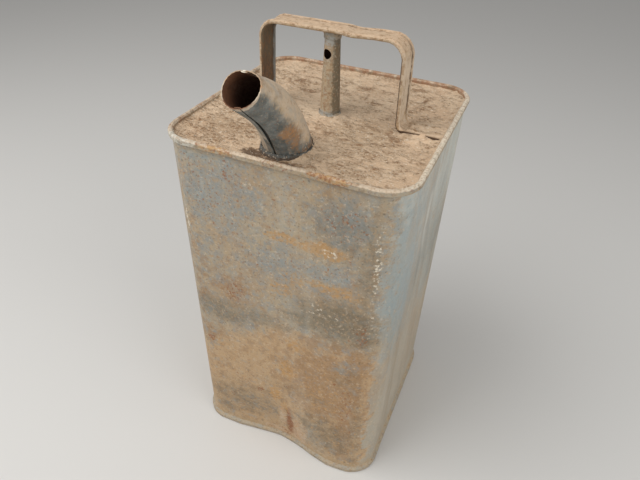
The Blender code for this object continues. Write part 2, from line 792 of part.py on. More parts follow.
def strap_section():
    """Outline of the strap across its width: a thin web between two round beads."""
    centre = STRAP_WIDTH / 2 - STRAP_BEAD_RADIUS
    start = math.asin(STRAP_WEB / 2 / STRAP_BEAD_RADIUS)
    sweep = math.tau - start * 2
    bead = []
    for step in range(STRAP_BEAD_STEPS + 1):
        angle = math.pi + start + sweep * step / STRAP_BEAD_STEPS
        bead.append((centre + STRAP_BEAD_RADIUS * math.cos(angle), STRAP_BEAD_RADIUS * math.sin(angle)))
    other = [(-x, -y) for x, y in bead]
    return bead + other


def make_handle(part):
    """The strap bent to a bridge, a little askew, with both feet turned outwards on the top panel."""
    foot = PANEL_TOP + GAP + STRAP_BEAD_RADIUS
    top = HANDLE_TOP - STRAP_BEAD_RADIUS
    leg = HANDLE_LEG_HALF_WIDTH - STRAP_BEAD_RADIUS
    shoulder = HANDLE_TOP_HALF_WIDTH - STRAP_BEAD_RADIUS
    dip = HANDLE_TOP_HALF_WIDTH * HANDLE_DIP_SHARE
    collar = TUBE_TOP_RADIUS + GAP * 2 + TUBE_TOP_SOLDER_WIDTH
    corners = [
        (-HANDLE_FOOT_REACH, foot, 0),
        (-leg, foot, HANDLE_FOOT_BEND_RADIUS),
        (-shoulder, top, HANDLE_LEFT_BEND_RADIUS),
        (collar, top, HANDLE_DIP_BEND_RADIUS),
        (dip, top - HANDLE_DIP, HANDLE_DIP_BEND_RADIUS),
        (dip * 2, top, HANDLE_DIP_BEND_RADIUS),
        (shoulder, top, HANDLE_RIGHT_BEND_RADIUS),
        (leg, foot, HANDLE_FOOT_BEND_RADIUS),
        (HANDLE_FOOT_REACH, foot, 0),
    ]
    path = rounded_line(corners, HANDLE_BEND_STEPS)
    section = [(y, x) for x, y in strap_section()]
    mesh = swept_mesh("handle_strap", section, path, closed_section=True)
    skew = Matrix.Identity(4)
    skew[0][1] = math.tan(math.radians(HANDLE_SKEW))
    place = Matrix.Translation((HANDLE_X, HANDLE_Y, 0)) @ skew
    mesh.transform(place @ Matrix.Rotation(math.radians(90), 4, "X"))
    weld(mesh)
    add_object("handle_strap", mesh, part, DUSTY_STEEL)


def stand_on_origin(part, cutters):
    """Move the whole can so that the middle of its overall box stands on the origin."""
    bpy.context.view_layer.update()
    graph = bpy.context.evaluated_depsgraph_get()
    places = []
    for piece in part.objects:
        shown = piece.evaluated_get(graph)
        places += [shown.matrix_world @ vertex.co for vertex in shown.data.vertices]
    x_middle = (min(place.x for place in places) + max(place.x for place in places)) / 2
    y_middle = (min(place.y for place in places) + max(place.y for place in places)) / 2
    shift = Matrix.Translation((-x_middle, -y_middle, 0))
    for piece in list(part.objects) + list(cutters.objects):
        piece.matrix_world = shift @ piece.matrix_world


def main():
    part, cutters = clear_scene()
    make_body_wall(part)
    make_lock_solder(part)
    make_bottom_panel(part)
    mouth, foot, spout_hole = spout_cutters(cutters)
    make_top_panel(part, cutters, spout_hole)
    make_spout(part, mouth, foot)
    make_spout_solder(part)
    make_air_tube(part, cutters)
    make_handle(part)
    stand_on_origin(part, cutters)


main()
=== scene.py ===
"""Kerosene can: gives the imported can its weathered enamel, dust, rust and solder, and a lit stage.

Lengths are metres where no name or comment says millimetres. The can stands on z = 0, and its spout
reaches over the -Y side.
"""

import math

import bmesh
import bpy
from mathutils import Matrix, Vector, noise
from mathutils.bvhtree import BVHTree


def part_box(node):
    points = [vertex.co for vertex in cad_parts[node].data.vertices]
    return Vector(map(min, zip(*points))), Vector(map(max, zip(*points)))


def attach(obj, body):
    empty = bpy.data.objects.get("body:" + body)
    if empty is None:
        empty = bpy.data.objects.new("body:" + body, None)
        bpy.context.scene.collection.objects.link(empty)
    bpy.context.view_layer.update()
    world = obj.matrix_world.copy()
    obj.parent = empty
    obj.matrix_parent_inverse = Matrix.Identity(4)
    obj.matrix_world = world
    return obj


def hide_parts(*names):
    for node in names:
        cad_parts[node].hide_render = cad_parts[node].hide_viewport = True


bl_info = {
    "name": "Kerosene Can",
    "version": (1, 0, 0),
    "blender": (4, 5, 0),
    "location": "3D View > Sidebar > Kerosene Can",
    "description": "Dresses a seamed sheet-steel can in weathered enamel, dust, rust and solder",
    "category": "Object",
}

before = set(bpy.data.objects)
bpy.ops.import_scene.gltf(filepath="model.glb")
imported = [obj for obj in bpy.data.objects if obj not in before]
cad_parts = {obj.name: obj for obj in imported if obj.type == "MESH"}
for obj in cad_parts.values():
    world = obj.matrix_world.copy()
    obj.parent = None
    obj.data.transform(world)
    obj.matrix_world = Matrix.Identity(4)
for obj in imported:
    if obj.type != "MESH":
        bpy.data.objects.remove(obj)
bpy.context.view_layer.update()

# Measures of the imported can
MM = 0.001
RIM_LOW, RIM_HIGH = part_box("top_panel")
RIM_HALF = (RIM_HIGH.x - RIM_LOW.x) / 2
AXIS_Y = RIM_HIGH.y - RIM_HALF
SHEET = 0.0005
PANEL_TOP = RIM_LOW.z + SHEET
PANEL_MM = PANEL_TOP / MM
TUBE_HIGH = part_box("air_tube")[1]
TUBE_TOP_MM = TUBE_HIGH.z / MM
STRAP_LOW, STRAP_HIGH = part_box("handle_strap")
STRAP_TOP_MM = STRAP_HIGH.z / MM
STRAP_MIDDLE_MM = (STRAP_LOW.y + STRAP_HIGH.y) / 2 / MM
SOLDER_LOW, SOLDER_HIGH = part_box("spout_solder")
SPOUT_FOOT = (SOLDER_LOW + SOLDER_HIGH) / 2
SHARP = math.radians(40)

# The spout's bend in millimetres and radians, and how far it is turned about the upright
SPOUT_BEND = 89.0
SPOUT_TILT = math.radians(17)
SPOUT_TURN = math.radians(-4)

# The strap: its middle, its legs' outer faces, its feet's height, and its crevices' offset in millimetres
STRAP_X = 0.0015
LEG_OUT = 0.0560
FOOT_HEIGHT = 0.0030
CREVICE = 6.4

# Real grains in millimetres; they are too fine to show in the render, so each is drawn COARSER times as large
PAINT_PIT = 0.8
DUST_GRAIN = 0.6
RUST_GRAIN = 0.55
SOLDER_PIT = 0.45
SPECK = 0.425
COARSER = 4

# Noise clouds: the range that holds nearly all their values, and how ragged their small lumps are
CLOUD_LOW = 0.25
CLOUD_HIGH = 0.75
CLOUD_RAGGED = 0.62
WARP_RAGGED = 0.6

# Where the crust on the top panel ends: at the rim, round the tube and under the spout's solder
RIM_INSET = 0.0036
PANEL_CORNER = 0.0205
HOLE_CLEARANCE = 0.0004
SOLDER_LAP = 0.0019
SPOUT_LEAN = 0.0005
SEAT = 0.00005

# Its grain: the spacing of crumbs, clods and swells, and how much of each stands out
CRUMB_PITCH = 0.0038
CLOD_PITCH = 0.0032
SWELL_PITCH = 0.020
CLOD_LEVEL_SHARE = 0.35
CLOD_SHARE = 4
SWELL_SHARE = 0.4
CRUMB_OCTAVES = 3
OCTAVE_FALL = 1.0
OCTAVE_STEP = 2.0

# The share of a cell below which an edge of the crust is dissolved
SLIVER_SHARE = 0.05

# The place behind the spout that is swept smooth, from the panel's middle, and the smooth ring round the tube
SWEPT_X = -0.008
SWEPT_Y = 0.009
SWEPT_INNER = 0.014
SWEPT_OUTER = 0.032
TUBE_RING = 0.012
SWEPT_SHARE = 0.8

# Its drifts: how high they stand, and over what length they fall away
TUBE_DRIFT = 0.0010
SPOUT_DRIFT = 0.0034
RIM_DRIFT = 0.0026
DRIFT_FALL = 0.0030
SPOUT_DRIFT_FALL = 0.0028
LEE_REACH = 0.010
LEE_SLANT_SHARE = 0.7
WINDWARD_SHARE = 0.15
REAR_RIM = (0.055, 0.080)
REAR_RIM_SHARE = 0.7
LEFT_RIM = (-0.060, -0.084)
LEFT_RIM_SHARE = 0.4

# How it covers the strap's feet, from the leg's outer face, and the apron that it leaves in front of them
APRON_WIDTH = 0.006
APRON_LENGTH = 0.016
APRON_END = 0.001
APRON_PITCH = 0.005
APRON_SHARE = 0.68
APRON_LUMP_SHARE = 0.7
COVER_START = 0.004
COVER_FULL = 0.009
COVER_EDGE = 0.0006
COVER_SLOPE = 0.0012
COVER_FRAY = 0.0004
COVER_PITCH = 0.004
REAR_SLOPE = 0.012
REAR_OVERLAP = 0.002

# Dust on the lower seam, and the solder's lumps
LEDGE_TOP = 0.0045
LEDGE_STEPS = 480
LEDGE_PITCH = 0.006
LEDGE_ROUGH_SHARE = 0.35
LEDGE_MIDDLE_SHARE = 0.35
SOLDER_CUTS = 3
SOLDER_CELL = 0.0009
SOLDER_PITCH = 0.0030
SOLDER_OCTAVES = 2
SOLDER_GAP = 0.00035
INWARD = -0.4
RUN_TAPER = 3

# The stage: what the camera looks at, its film, the floor and the light all round
TARGET = Vector((-0.004, AXIS_Y, 0.1947))
FILM_WIDTH_MM = 36.0
NEAREST = 0.01
QUARTER_TURN = math.radians(90)
FLOOR_SIZE = 12.0
FLOOR_ROUGHNESS = 0.6
SKY_STRENGTH = 0.35

# Each light: name, azimuth and elevation in degrees, distance and size in metres, and power in watts
LIGHTS = (
    ("key", -50.0, 52.0, 1.3, 1.1, 14.0),
    ("right", 75.0, 25.0, 1.4, 1.2, 8.5),
    ("fill", 0.0, 20.0, 1.6, 1.5, 2.0),
)


def linear(code):
    """Linear red, green and blue of an sRGB hex colour."""
    parts = [int(code[at : at + 2], 16) / 255 for at in (0, 2, 4)]
    return [part / 12.92 if part <= 0.04045 else ((part + 0.055) / 1.055) ** 2.4 for part in parts]


def shade(name, description, code):
    """A colour property whose default is an sRGB hex colour."""
    return bpy.props.FloatVectorProperty(
        name=name, description=description, subtype="COLOR", size=3, min=0, max=1, default=linear(code)
    )


def length(name, description, value):
    """A length property in metres."""
    return bpy.props.FloatProperty(
        name=name, description=description, unit="LENGTH", precision=5, min=0, default=value
    )


class CanColours(bpy.types.PropertyGroup):
    """Colours of the can's finishes."""

    paint: shade("Enamel", "Faded olive-grey enamel of the wall under a film of dust", "A99D88")
    paint_blue: shade("Cleaner enamel", "Grey-blue enamel where rain has kept it clean", "8A8F8D")
    paint_side: shade("Bleached enamel", "Enamel bleached by the sun on the right side", "A5A8A0")
    # Also used for the painted highlight on the right side
    paint_high_and_highlight: shade("Pale enamel", "Chalky enamel on the upper part of the right side", "CFD1C8")
    paint_cool: shade("Corner enamel", "Pale blue enamel along the front right corner", "8F9B9C")
    paint_dark: shade("Spout enamel", "Darker enamel of the spout", "555A57")
    film: shade("Dust film", "Thin dust that clings to the enamel", "B59C7A")
    sand: shade("Sandy dust", "Thicker dust on the lower half of the wall", "BE9E78")
    umber: shade("Brown stain", "Rusty water dried on the wall", "9A7753")
    ochre: shade("Ochre stain", "Yellow rust washed over the enamel", "B98E58")
    # Also used for painted shade on the tube, beside the tube on the top panel and at the front's right
    # corner
    grime_and_shade: shade("Grime", "Oily grime on the enamel", "685E4A")
    rust: shade("Rust", "Dull brown rust", "91603F")
    rust_bright: shade("Fresh rust", "Orange rust", "B47E4A")
    # Also used for painted shade on the strap and for the painted shadow by the spout's foot
    rust_dark_and_shade: shade("Old rust", "Dark brown rust on the strap and in the crevices", "4B3725")
    pale: shade("Worn edge", "Chalky enamel on rubbed edges", "CDBAA2")
    # Also used for the painted glint on the spout's lip
    chip_and_glint: shade("Chips", "White ground coat in chips and scratches", "E0D6C2")
    crust: shade("Dust crust", "Thick dust on the top panel", "C8AA8B")
    crust_light: shade("Dry dust", "Loose, dry dust on the top panel", "D2BA9D")
    crust_dark: shade("Soaked dust", "Dust darkened by spilt kerosene", "83603F")
    solder: shade("Solder", "Dull grey soft solder", "A09F98")
    soot: shade("Inside", "Brown oxide inside the spout and the tube", "4A2E1E")


class CanSizes(bpy.types.PropertyGroup):
    """Sizes of what lies on the can."""

    crust_depth: length("Crust depth", "Usual depth of the dust on the top panel", 0.0006)
    crust_cell: length("Crust cell", "Spacing of the points of the dust crust", 0.0010)
    crumb: length("Crumb", "Height of the crumbs in the dust crust", 0.0005)
    ledge: length("Ledge dust", "Depth of the dust on the ledge of the lower seam", 0.0022)
    lump: length("Solder lump", "Height of the lumps in the solder", 0.0004)
    run_out: length("Solder run", "How far the solder has run out in front of the spout", 0.0022)


class StageSettings(bpy.types.PropertyGroup):
    """Floor, lights and camera."""

    floor: shade("Floor", "Pale floor", "D2D0CC")
    azimuth: bpy.props.FloatProperty(
        name="Azimuth",
        description="Camera's turn from the front",
        subtype="ANGLE",
        default=math.radians(22.78),
    )
    elevation: bpy.props.FloatProperty(
        name="Elevation",
        description="Camera's height above the horizon",
        subtype="ANGLE",
        default=math.radians(38.33),
    )
    roll: bpy.props.FloatProperty(
        name="Roll",
        description="Camera's lean",
        subtype="ANGLE",
        default=math.radians(2.12),
    )
    distance: length("Distance", "From the camera to what it looks at", 0.4734)
    lens: bpy.props.FloatProperty(
        name="Lens",
        description="Focal length in millimetres",
        unit="CAMERA",
        default=29.295,
        min=1,
    )


def add(tree, kind, feeds=None, **settings):
    """Add a shader node with its settings; feeds gives each socket a value or the output that feeds it."""
    node = tree.nodes.new("ShaderNode" + kind)
    for name, value in settings.items():
        setattr(node, name, value)
    for name, value in (feeds or {}).items():
        socket = node.inputs[name]
        if isinstance(value, bpy.types.NodeSocket):
            tree.links.new(value, socket)
        else:
            socket.default_value = value
    return node


def opaque(colour):
    """A colour with full alpha."""
    return (*colour, 1)


def new_material(name):
    """A material, its node tree and the place on the can in millimetres."""
    material = bpy.data.materials.new(name)
    material.use_nodes = True
    tree = material.node_tree
    where = add(tree, "TexCoord").outputs["Object"]
    place = add(tree, "VectorMath", {0: where, "Scale": 1 / MM}, operation="SCALE").outputs[0]
    return material, tree, place


def weighed(tree, start, pairs):
    """Start plus each mask times its weight."""
    total = start
    for mask, weight in pairs:
        total = add(tree, "Math", {0: mask, 1: weight, 2: total}, operation="MULTIPLY_ADD").outputs[0]
    return total


def overlap(tree, *masks):
    """What masks and factors share: their product."""
    shared = masks[0]
    for mask in masks[1:]:
        shared = add(tree, "Math", {0: shared, 1: mask}, operation="MULTIPLY").outputs[0]
    return shared


def band(tree, value, *slopes):
    """Mask of a band of values: it grows from 0 at each slope's first value to 1 at its second."""
    masks = []
    for start, full in slopes:
        feeds = {"Value": value, "From Min": start, "From Max": full}
        masks.append(add(tree, "MapRange", feeds, interpolation_type="SMOOTHSTEP").outputs[0])
    return overlap(tree, *masks)


def clouds(tree, place, size, squeeze=(1, 1, 1), detail=5.0):
    """Three unlike clouds whose lumps are about size millimetres apart, and closer along a squeezed axis."""
    scale = [closer / size for closer in squeeze]
    scaled = add(tree, "VectorMath", {0: place, 1: scale}, operation="MULTIPLY")
    feeds = {"Vector": scaled.outputs[0], "Scale": 1.0, "Detail": detail, "Roughness": CLOUD_RAGGED}
    return add(tree, "SeparateXYZ", {0: add(tree, "TexNoise", feeds).outputs[1]}).outputs[:]


def sown(tree, cloud, share, soft, *more):
    """Mask of specks where a cloud is dense: a share of 0 leaves none, and a share of 1 leaves hardly a gap.

    more gives masks that change the share, each with its weight.
    """
    share = weighed(tree, share, more)
    feeds = {0: share, 1: CLOUD_HIGH - CLOUD_LOW, 2: cloud}
    dense = add(tree, "Math", feeds, operation="MULTIPLY_ADD").outputs[0]
    return band(tree, dense, (CLOUD_HIGH - soft, CLOUD_HIGH + soft))


def warped(tree, place, size, reach):
    """The place shifted by up to about reach millimetres by clouds of the given size, which frays edges."""
    feeds = {"Vector": place, "Scale": 1 / size, "Detail": 4.0, "Roughness": WARP_RAGGED}
    cloud = add(tree, "TexNoise", feeds)
    feeds = {0: cloud.outputs[1], 1: (reach * 2,) * 3, 2: (-reach,) * 3}
    shift = add(tree, "VectorMath", feeds, operation="MULTIPLY_ADD")
    return add(tree, "VectorMath", {0: place, 1: shift.outputs[0]}, operation="ADD").outputs[0]


def patches(tree, place, table, edge):
    """Mask of ellipsoids with soft edges: each row is a centre, its reaches in millimetres and a strength."""
    total = 0.0
    for centre, reach, strength in table:
        scale = [1 / size for size in reach]
        offset = [-at / size for at, size in zip(centre, reach)]
        local = add(tree, "VectorMath", {0: place, 1: scale, 2: offset}, operation="MULTIPLY_ADD")
        away = add(tree, "VectorMath", {0: local.outputs[0]}, operation="LENGTH").outputs["Value"]
        feeds = {"Value": away, "From Min": 1 + edge, "From Max": 1 - edge, "To Max": strength}
        mask = add(tree, "MapRange", feeds, interpolation_type="SMOOTHSTEP")
        total = add(tree, "Math", {0: mask.outputs[0], 1: total}, operation="MAXIMUM").outputs[0]
    return total


def coat(tree, ground, roughness, layers, heights):
    """Lay coats over a ground in order, and raise a relief.

    Each layer has the masks and factors that bound it, a colour and a roughness; heights are pairs of a
    mask and its height in millimetres. The IOR stays 1.5, which is usual for enamel, dust and oxide.
    """
    colour = opaque(ground)
    for masks, over, rough in layers:
        mask = overlap(tree, *masks)
        colour = add(tree, "Mix", {0: mask, 6: colour, 7: opaque(over)}, data_type="RGBA").outputs[2]
        roughness = add(tree, "Mix", {0: mask, 2: roughness, 3: rough}).outputs[0]
    feeds = {"Height": weighed(tree, 0.0, heights), "Distance": MM, "Strength": 1.0}
    shader = tree.nodes["Principled BSDF"]
    tree.links.new(colour, shader.inputs["Base Color"])
    tree.links.new(roughness, shader.inputs["Roughness"])
    tree.links.new(add(tree, "Bump", feeds).outputs[0], shader.inputs["Normal"])


# The front's plane in millimetres, and how far a spot on it reaches through it
FRONT_Y = -76.0
FRONT_REACH = 26.0

# Where the front carries what: place along x and z and half sizes, all in millimetres, and a strength
BLUE_SPOTS = [
    (-50, 284, 30, 30, 0.55),
    (-64, 238, 12, 30, 0.2),
    (50, 289, 17, 16, 0.9),
    (0, 238, 22, 14, 0.45),
    (40, 243, 24, 8, 0.6),
    (57, 147, 9, 10, 0.45),
    (-48, 166, 30, 12, 0.3),
    (-36, 46, 38, 16, 0.4),
    (-62, 22, 14, 14, 0.3),
    (34, 42, 24, 16, 0.3),
]
GRIME_AND_SHADE_SPOTS = [
    (54, 198, 36, 20, 1.0),
    (28, 188, 22, 9, 0.9),
    # Painted shade: the darker strip where the front turns into its right corner
    (70, 258, 8, 56, 0.55),
    (50, 284, 24, 24, 0.5),
    (-14, 173, 30, 8, 0.55),
    (-40, 46, 42, 20, 0.6),
    (-62, 26, 16, 12, 0.5),
    (42, 42, 32, 27, 0.75),
    (20, 92, 34, 9, 0.25),
    (62, 132, 12, 20, 0.35),
    (-54, 166, 28, 13, 0.7),
    (38, 46, 24, 18, 0.45),
    (-30, 72, 28, 6, 0.35),
    (74, 60, 5, 56, 0.5),
]
SAND_SPOTS = [
    (-34, 112, 34, 30, 1.0),
    (-56, 88, 20, 24, 0.8),
    (-12, 140, 16, 14, 0.6),
    (-30, 150, 14, 8, 0.4),
]
OCHRE_SPOTS = [
    (6, 263, 16, 5, 0.8),
    (36, 263, 20, 6, 1.0),
    (45, 229, 26, 6, 0.7),
    (14, 228, 12, 8, 0.5),
    (2, 214, 12, 8, 0.6),
    (14, 152, 11, 8, 0.7),
    (8, 118, 10, 14, 0.8),
    (-5, 76, 7, 12, 0.8),
    (4, 58, 5, 12, 0.8),
    (-60, 120, 18, 8, 0.4),
    (40, 100, 26, 30, 0.4),
]
UMBER_SPOTS = [
    (44, 112, 36, 48, 0.9),
    (66, 150, 12, 26, 0.8),
    (64, 60, 8, 60, 0.9),
    (69, 118, 6, 60, 1.0),
    (44, 165, 26, 8, 0.7),
    (-44, 196, 16, 16, 0.8),
    (-70, 130, 12, 12, 0.8),
    (68, 190, 6, 16, 0.8),
    (9, 36, 6, 20, 1.0),
    (-72, 210, 8, 50, 0.5),
]
RUST_SPOTS = [
    (-40, 193, 10, 12, 0.35),
    (-36, 305, 4, 9, 0.35),
    (8, 34, 4, 18, 0.8),
    (2, 14, 9, 6, 0.45),
    (-69, 124, 4, 5, 0.7),
    (-21, 73, 3, 4, 0.6),
    (51, 124, 2, 2, 0.8),
    (70, 190, 5, 9, 0.45),
    (62, 90, 8, 40, 0.25),
]
PALE_SPOTS = [
    (42, 262, 8, 3, 0.9),
    (34, 203, 9, 7, 0.62),
    (48, 201, 6, 5, 0.55),
    (75, 262, 2, 34, 1.0),
    (75, 208, 3, 18, 0.7),
    (-77, 252, 2, 14, 1.0),
    (-20, 300, 5, 2, 0.7),
]
# A pink blush of rust, with a painted highlight on the lit flank of the knock
BLUSH_AND_HIGHLIGHT_SPOTS = [(18, 28, 9, 24, 0.9), (-4, 12, 16, 6, 0.7), (1, 42, 4, 16, 0.7)]
VALLEY_SPOT = (8, 37, 3.2, 24, 1.0)

# Places on the right side, the corner and the top edge: a centre and reaches in millimetres, and a strength
CORNER_PATCHES = [((86, -48, 246), (12, 34, 66), 1.0), ((88, -20, 285), (12, 26, 20), 0.6)]
# A painted highlight: a pale streak on the right side where a lamp's reflection falls
SIDE_HIGHLIGHT_PATCHES = [((90, 4, 256), (8, 7, 22), 0.9), ((90, 8, 234), (8, 5, 18), 0.7)]
SMEAR_PATCHES = [((-62, -76, 311), (13, 20, 4), 1.0), ((-30, -76, 312), (16, 20, 2), 0.6)]
WARM_RIM_PATCHES = [
    ((-43, -78.5, 321.5), (13, 8, 3), 0.9),
    ((38, -78.5, 321.5), (15, 8, 3), 1.0),
    ((0, -78.5, 321.5), (12, 8, 3), 0.5),
    ((-60, 60, 321), (18, 10, 5), 0.5),
]
COOL_RIM_PATCHES = [((-74, -76, 320), (16, 16, 4), 1.0)]


def on_front(rows):
    """Rows on the front as ellipsoids about its plane."""
    return [((x, FRONT_Y, z), (wide, FRONT_REACH, high), strength) for x, z, wide, high, strength in rows]


def weathered_enamel(colours):
    """Enamel brushed on sheet steel: chalky under dust, satin where rain cleans it, pitted where it rusts."""
    material, tree, place = new_material("weathered_enamel")
    split = add(tree, "SeparateXYZ", {0: place}).outputs
    frayed = warped(tree, place, 9.0, 5.0)
    drifting = add(tree, "SeparateXYZ", {0: warped(tree, place, 26.0, 9.0)}).outputs
    fine = clouds(tree, place, PAINT_PIT * COARSER)
    fleck = clouds(tree, place, RUST_GRAIN * COARSER)
    middle = clouds(tree, place, 8.0)
    wide = clouds(tree, place, 34.0)
    run = clouds(tree, place, 30.0, squeeze=(1, 1, 0.3), detail=3.0)
    blue, grime_and_shade, sand, ochre, umber, rust, pale, blush_and_highlight = (
        patches(tree, frayed, on_front(spots), 0.6)
        for spots in (
            BLUE_SPOTS,
            GRIME_AND_SHADE_SPOTS,
            SAND_SPOTS,
            OCHRE_SPOTS,
            UMBER_SPOTS,
            RUST_SPOTS,
            PALE_SPOTS,
            BLUSH_AND_HIGHLIGHT_SPOTS,
        )
    )
    valley = patches(tree, frayed, on_front([VALLEY_SPOT]), 0.95)
    corner = patches(tree, frayed, CORNER_PATCHES, 0.7)
    side_highlight = patches(tree, frayed, SIDE_HIGHLIGHT_PATCHES, 0.9)
    smear = patches(tree, frayed, SMEAR_PATCHES, 0.5)
    # The sandy lower half: its edge climbs to the left of the front, and waves on the other sides
    front = band(tree, split["Y"], (-52.0, -70.0))
    elsewhere = weighed(tree, 1.0, [(front, -1.0)])
    swing = {"Value": wide[2], "From Min": 0.3, "From Max": 0.7, "To Min": -45.0, "To Max": 45.0}
    wave = overlap(tree, add(tree, "MapRange", swing).outputs[0], elsewhere)
    left = add(tree, "Math", {0: split["X"], 1: 0.0}, operation="MINIMUM").outputs[0]
    low = band(tree, weighed(tree, split["Z"], [(left, -0.77), (wave, 1.0)]), (192.0, 148.0))
    sandy = weighed(tree, overlap(tree, low, weighed(tree, 0.62, [(front, 0.38)])), [(sand, 0.3)])
    # The right side, which the weather keeps cleaner, with dust on its lower half
    side = sown(tree, middle[0], band(tree, drifting["X"], (75.0, 91.0)), 0.14)
    wall = weighed(tree, 1.0, [(side, -1.0)])
    high = band(tree, split["Z"], (190.0, 290.0))
    below = weighed(tree, 1.0, [(high, -1.0)])
    dusty = band(tree, weighed(tree, split["Z"], [(wave, 1.0)]), (215.0, 110.0))
    foot = band(tree, split["Z"], (22.0, 5.0))
    clean = ((blue, 0.46), (low, -0.16))
    wall_layers = [
        ((sown(tree, wide[0], 0.55, 0.15), 0.55), colours.film, 0.8),
        ((sown(tree, wide[1], 0.4, 0.12), 0.35), colours.umber, 0.8),
        ((sown(tree, middle[0], sandy, 0.17), 0.8), colours.sand, 0.85),
        ((sown(tree, middle[1], 0.26, 0.14, (umber, 0.55), (low, 0.06)), 0.75), colours.umber, 0.8),
        ((sown(tree, middle[2], 0.32, 0.13, *clean), 0.7), colours.paint_blue, 0.6),
        ((sown(tree, fine[0], 0.32, 0.11, *clean), 0.6), colours.paint_blue, 0.6),
        ((sown(tree, middle[0], 0.14, 0.12, (blue, 0.3), (low, -0.3)), 0.5), colours.paint_cool, 0.55),
        # Grime, and painted shade at the front's right corner
        ((grime_and_shade, 0.5), colours.grime_and_shade, 0.6),
        ((sown(tree, middle[1], 0.0, 0.2, (grime_and_shade, 0.8)), 0.45), colours.grime_and_shade, 0.6),
        ((sown(tree, fine[1], 0.0, 0.12, (ochre, 0.78)), 0.8), colours.ochre, 0.85),
    ]
    side_layers = [
        ((side,), colours.paint_side, 0.5),
        ((side, high, 0.8), colours.paint_high_and_highlight, 0.5),
        ((side, sown(tree, run[0], 0.5, 0.2, (high, -0.2)), 0.25), colours.film, 0.8),
        ((side, sown(tree, run[1], 0.55, 0.25), 0.5), colours.paint_blue, 0.6),
        ((side, sown(tree, run[2], 0.38, 0.14, (high, -0.12)), 0.4), colours.umber, 0.6),
        ((side, sown(tree, fine[1], 0.3, 0.1), 0.3), colours.ochre, 0.8),
        ((side, below, sown(tree, middle[2], 0.42, 0.16), 0.4), colours.paint_blue, 0.6),
        ((side, below, sown(tree, run[1], 0.36, 0.14), 0.35), colours.grime_and_shade, 0.6),
        ((side, sown(tree, middle[1], dusty, 0.25), 0.4), colours.film, 0.7),
        ((sown(tree, middle[2], corner, 0.22), 0.75), colours.paint_cool, 0.45),
        ((corner, sown(tree, run[2], 0.42, 0.14), 0.4), colours.film, 0.6),
        ((corner, sown(tree, middle[1], 0.3, 0.1), 0.3), colours.ochre, 0.6),
        # Painted highlight: a pale streak on the right side
        ((sown(tree, run[0], 0.0, 0.25, (side_highlight, 1.1)), 0.5), colours.paint_high_and_highlight, 0.4),
    ]
    edge_layers = [
        ((sown(tree, middle[1], 0.0, 0.16, (smear, 0.75)), 0.6), colours.paint_cool, 0.6),
        ((wall, sown(tree, fine[2], 0.36, 0.1), 0.35), colours.film, 0.8),
        ((sown(tree, middle[0], 0.0, 0.14, (foot, 0.8)), 0.65), colours.film, 0.85),
        # Painted highlight on the knock's lit flank, pale, over a pink blush of rust
        ((sown(tree, fine[1], 0.0, 0.2, (blush_and_highlight, 0.95)), 0.65), colours.pale, 0.8),
        ((sown(tree, middle[2], 0.0, 0.16, (blush_and_highlight, 0.7)), 0.4), colours.rust_bright, 0.8),
    ]
    speck_layers = [
        ((wall, sown(tree, fleck[0], 0.18, 0.06, (blue, 0.14), (rust, 0.55)), 0.8), colours.rust, 0.9),
        ((weighed(tree, 0.2, [(wall, 0.4)]), sown(tree, fleck[1], 0.26, 0.06)), colours.grime_and_shade, 0.8),
        ((wall, sown(tree, fine[1], 0.2, 0.06, (low, 0.1)), 0.5), colours.ochre, 0.8),
        ((sown(tree, fine[2], 0.0, 0.2, (valley, 0.8)), 0.7), colours.rust, 0.9),
        ((sown(tree, fleck[2], 0.26, 0.06, (pale, 0.16)), 0.5), colours.pale, 0.7),
        ((sown(tree, fleck[2], 0.0, 0.03, (pale, 0.42)), 0.85), colours.chip_and_glint, 0.7),
    ]
    heights = [(wide[1], 1.0), (middle[0], 0.7), (fine[0], 0.28), (fleck[0], 0.14)]
    coat(tree, colours.paint, 0.6, wall_layers + side_layers + edge_layers + speck_layers, heights)
    return material


def seam_enamel(colours):
    """The same enamel folded over the seams: rubbed pale along the crown, rusting where it cracked."""
    material, tree, place = new_material("seam_enamel")
    split = add(tree, "SeparateXYZ", {0: place}).outputs
    fine = clouds(tree, place, RUST_GRAIN * COARSER)
    middle = clouds(tree, place, 6.0)
    crown = band(tree, split["Z"], (321.0, 322.3))
    right = overlap(tree, crown, band(tree, split["X"], (76.0, 89.0)))
    left = overlap(tree, band(tree, split["X"], (-82.0, -90.0)), 0.6)
    rear = band(tree, split["Y"], (60.0, 100.0))
    shaded = add(tree, "Math", {0: rear, 1: left}, operation="MAXIMUM").outputs[0]
    warm = patches(tree, warped(tree, place, 4.0, 3.0), WARM_RIM_PATCHES, 0.6)
    cool = patches(tree, place, COOL_RIM_PATCHES, 0.5)
    layers = [
        ((sown(tree, middle[0], 0.5, 0.1), 0.5), colours.film, 0.8),
        ((sown(tree, fine[0], 0.4, 0.08), 0.6), colours.paint_blue, 0.6),
        ((sown(tree, middle[1], 0.12, 0.14, (crown, 0.72)), 0.85), colours.pale, 0.75),
        ((sown(tree, middle[2], 0.0, 0.14, (shaded, 0.62)), 0.75), colours.rust, 0.85),
        ((sown(tree, middle[2], 0.0, 0.14, (cool, 0.8)), 0.55), colours.paint_high_and_highlight, 0.6),
        ((sown(tree, middle[0], 0.0, 0.14, (right, 0.85)), 0.6), colours.chip_and_glint, 0.7),
        ((sown(tree, fine[1], 0.4, 0.1), 0.5), colours.umber, 0.8),
        ((sown(tree, middle[0], 0.3, 0.07), 0.5), colours.grime_and_shade, 0.8),
        ((sown(tree, fine[2], 0.0, 0.1, (warm, 0.6)), 0.75), colours.ochre, 0.9),
        ((sown(tree, fine[0], 0.24, 0.06, (warm, 0.24)), 0.75), colours.rust, 0.9),
    ]
    coat(tree, colours.paint, 0.65, layers, [(middle[0], 0.4), (fine[0], 0.25), (fine[1], 0.2)])
    return material


# How far a spot on the top panel reaches through it, in millimetres
PANEL_REACH = 30.0

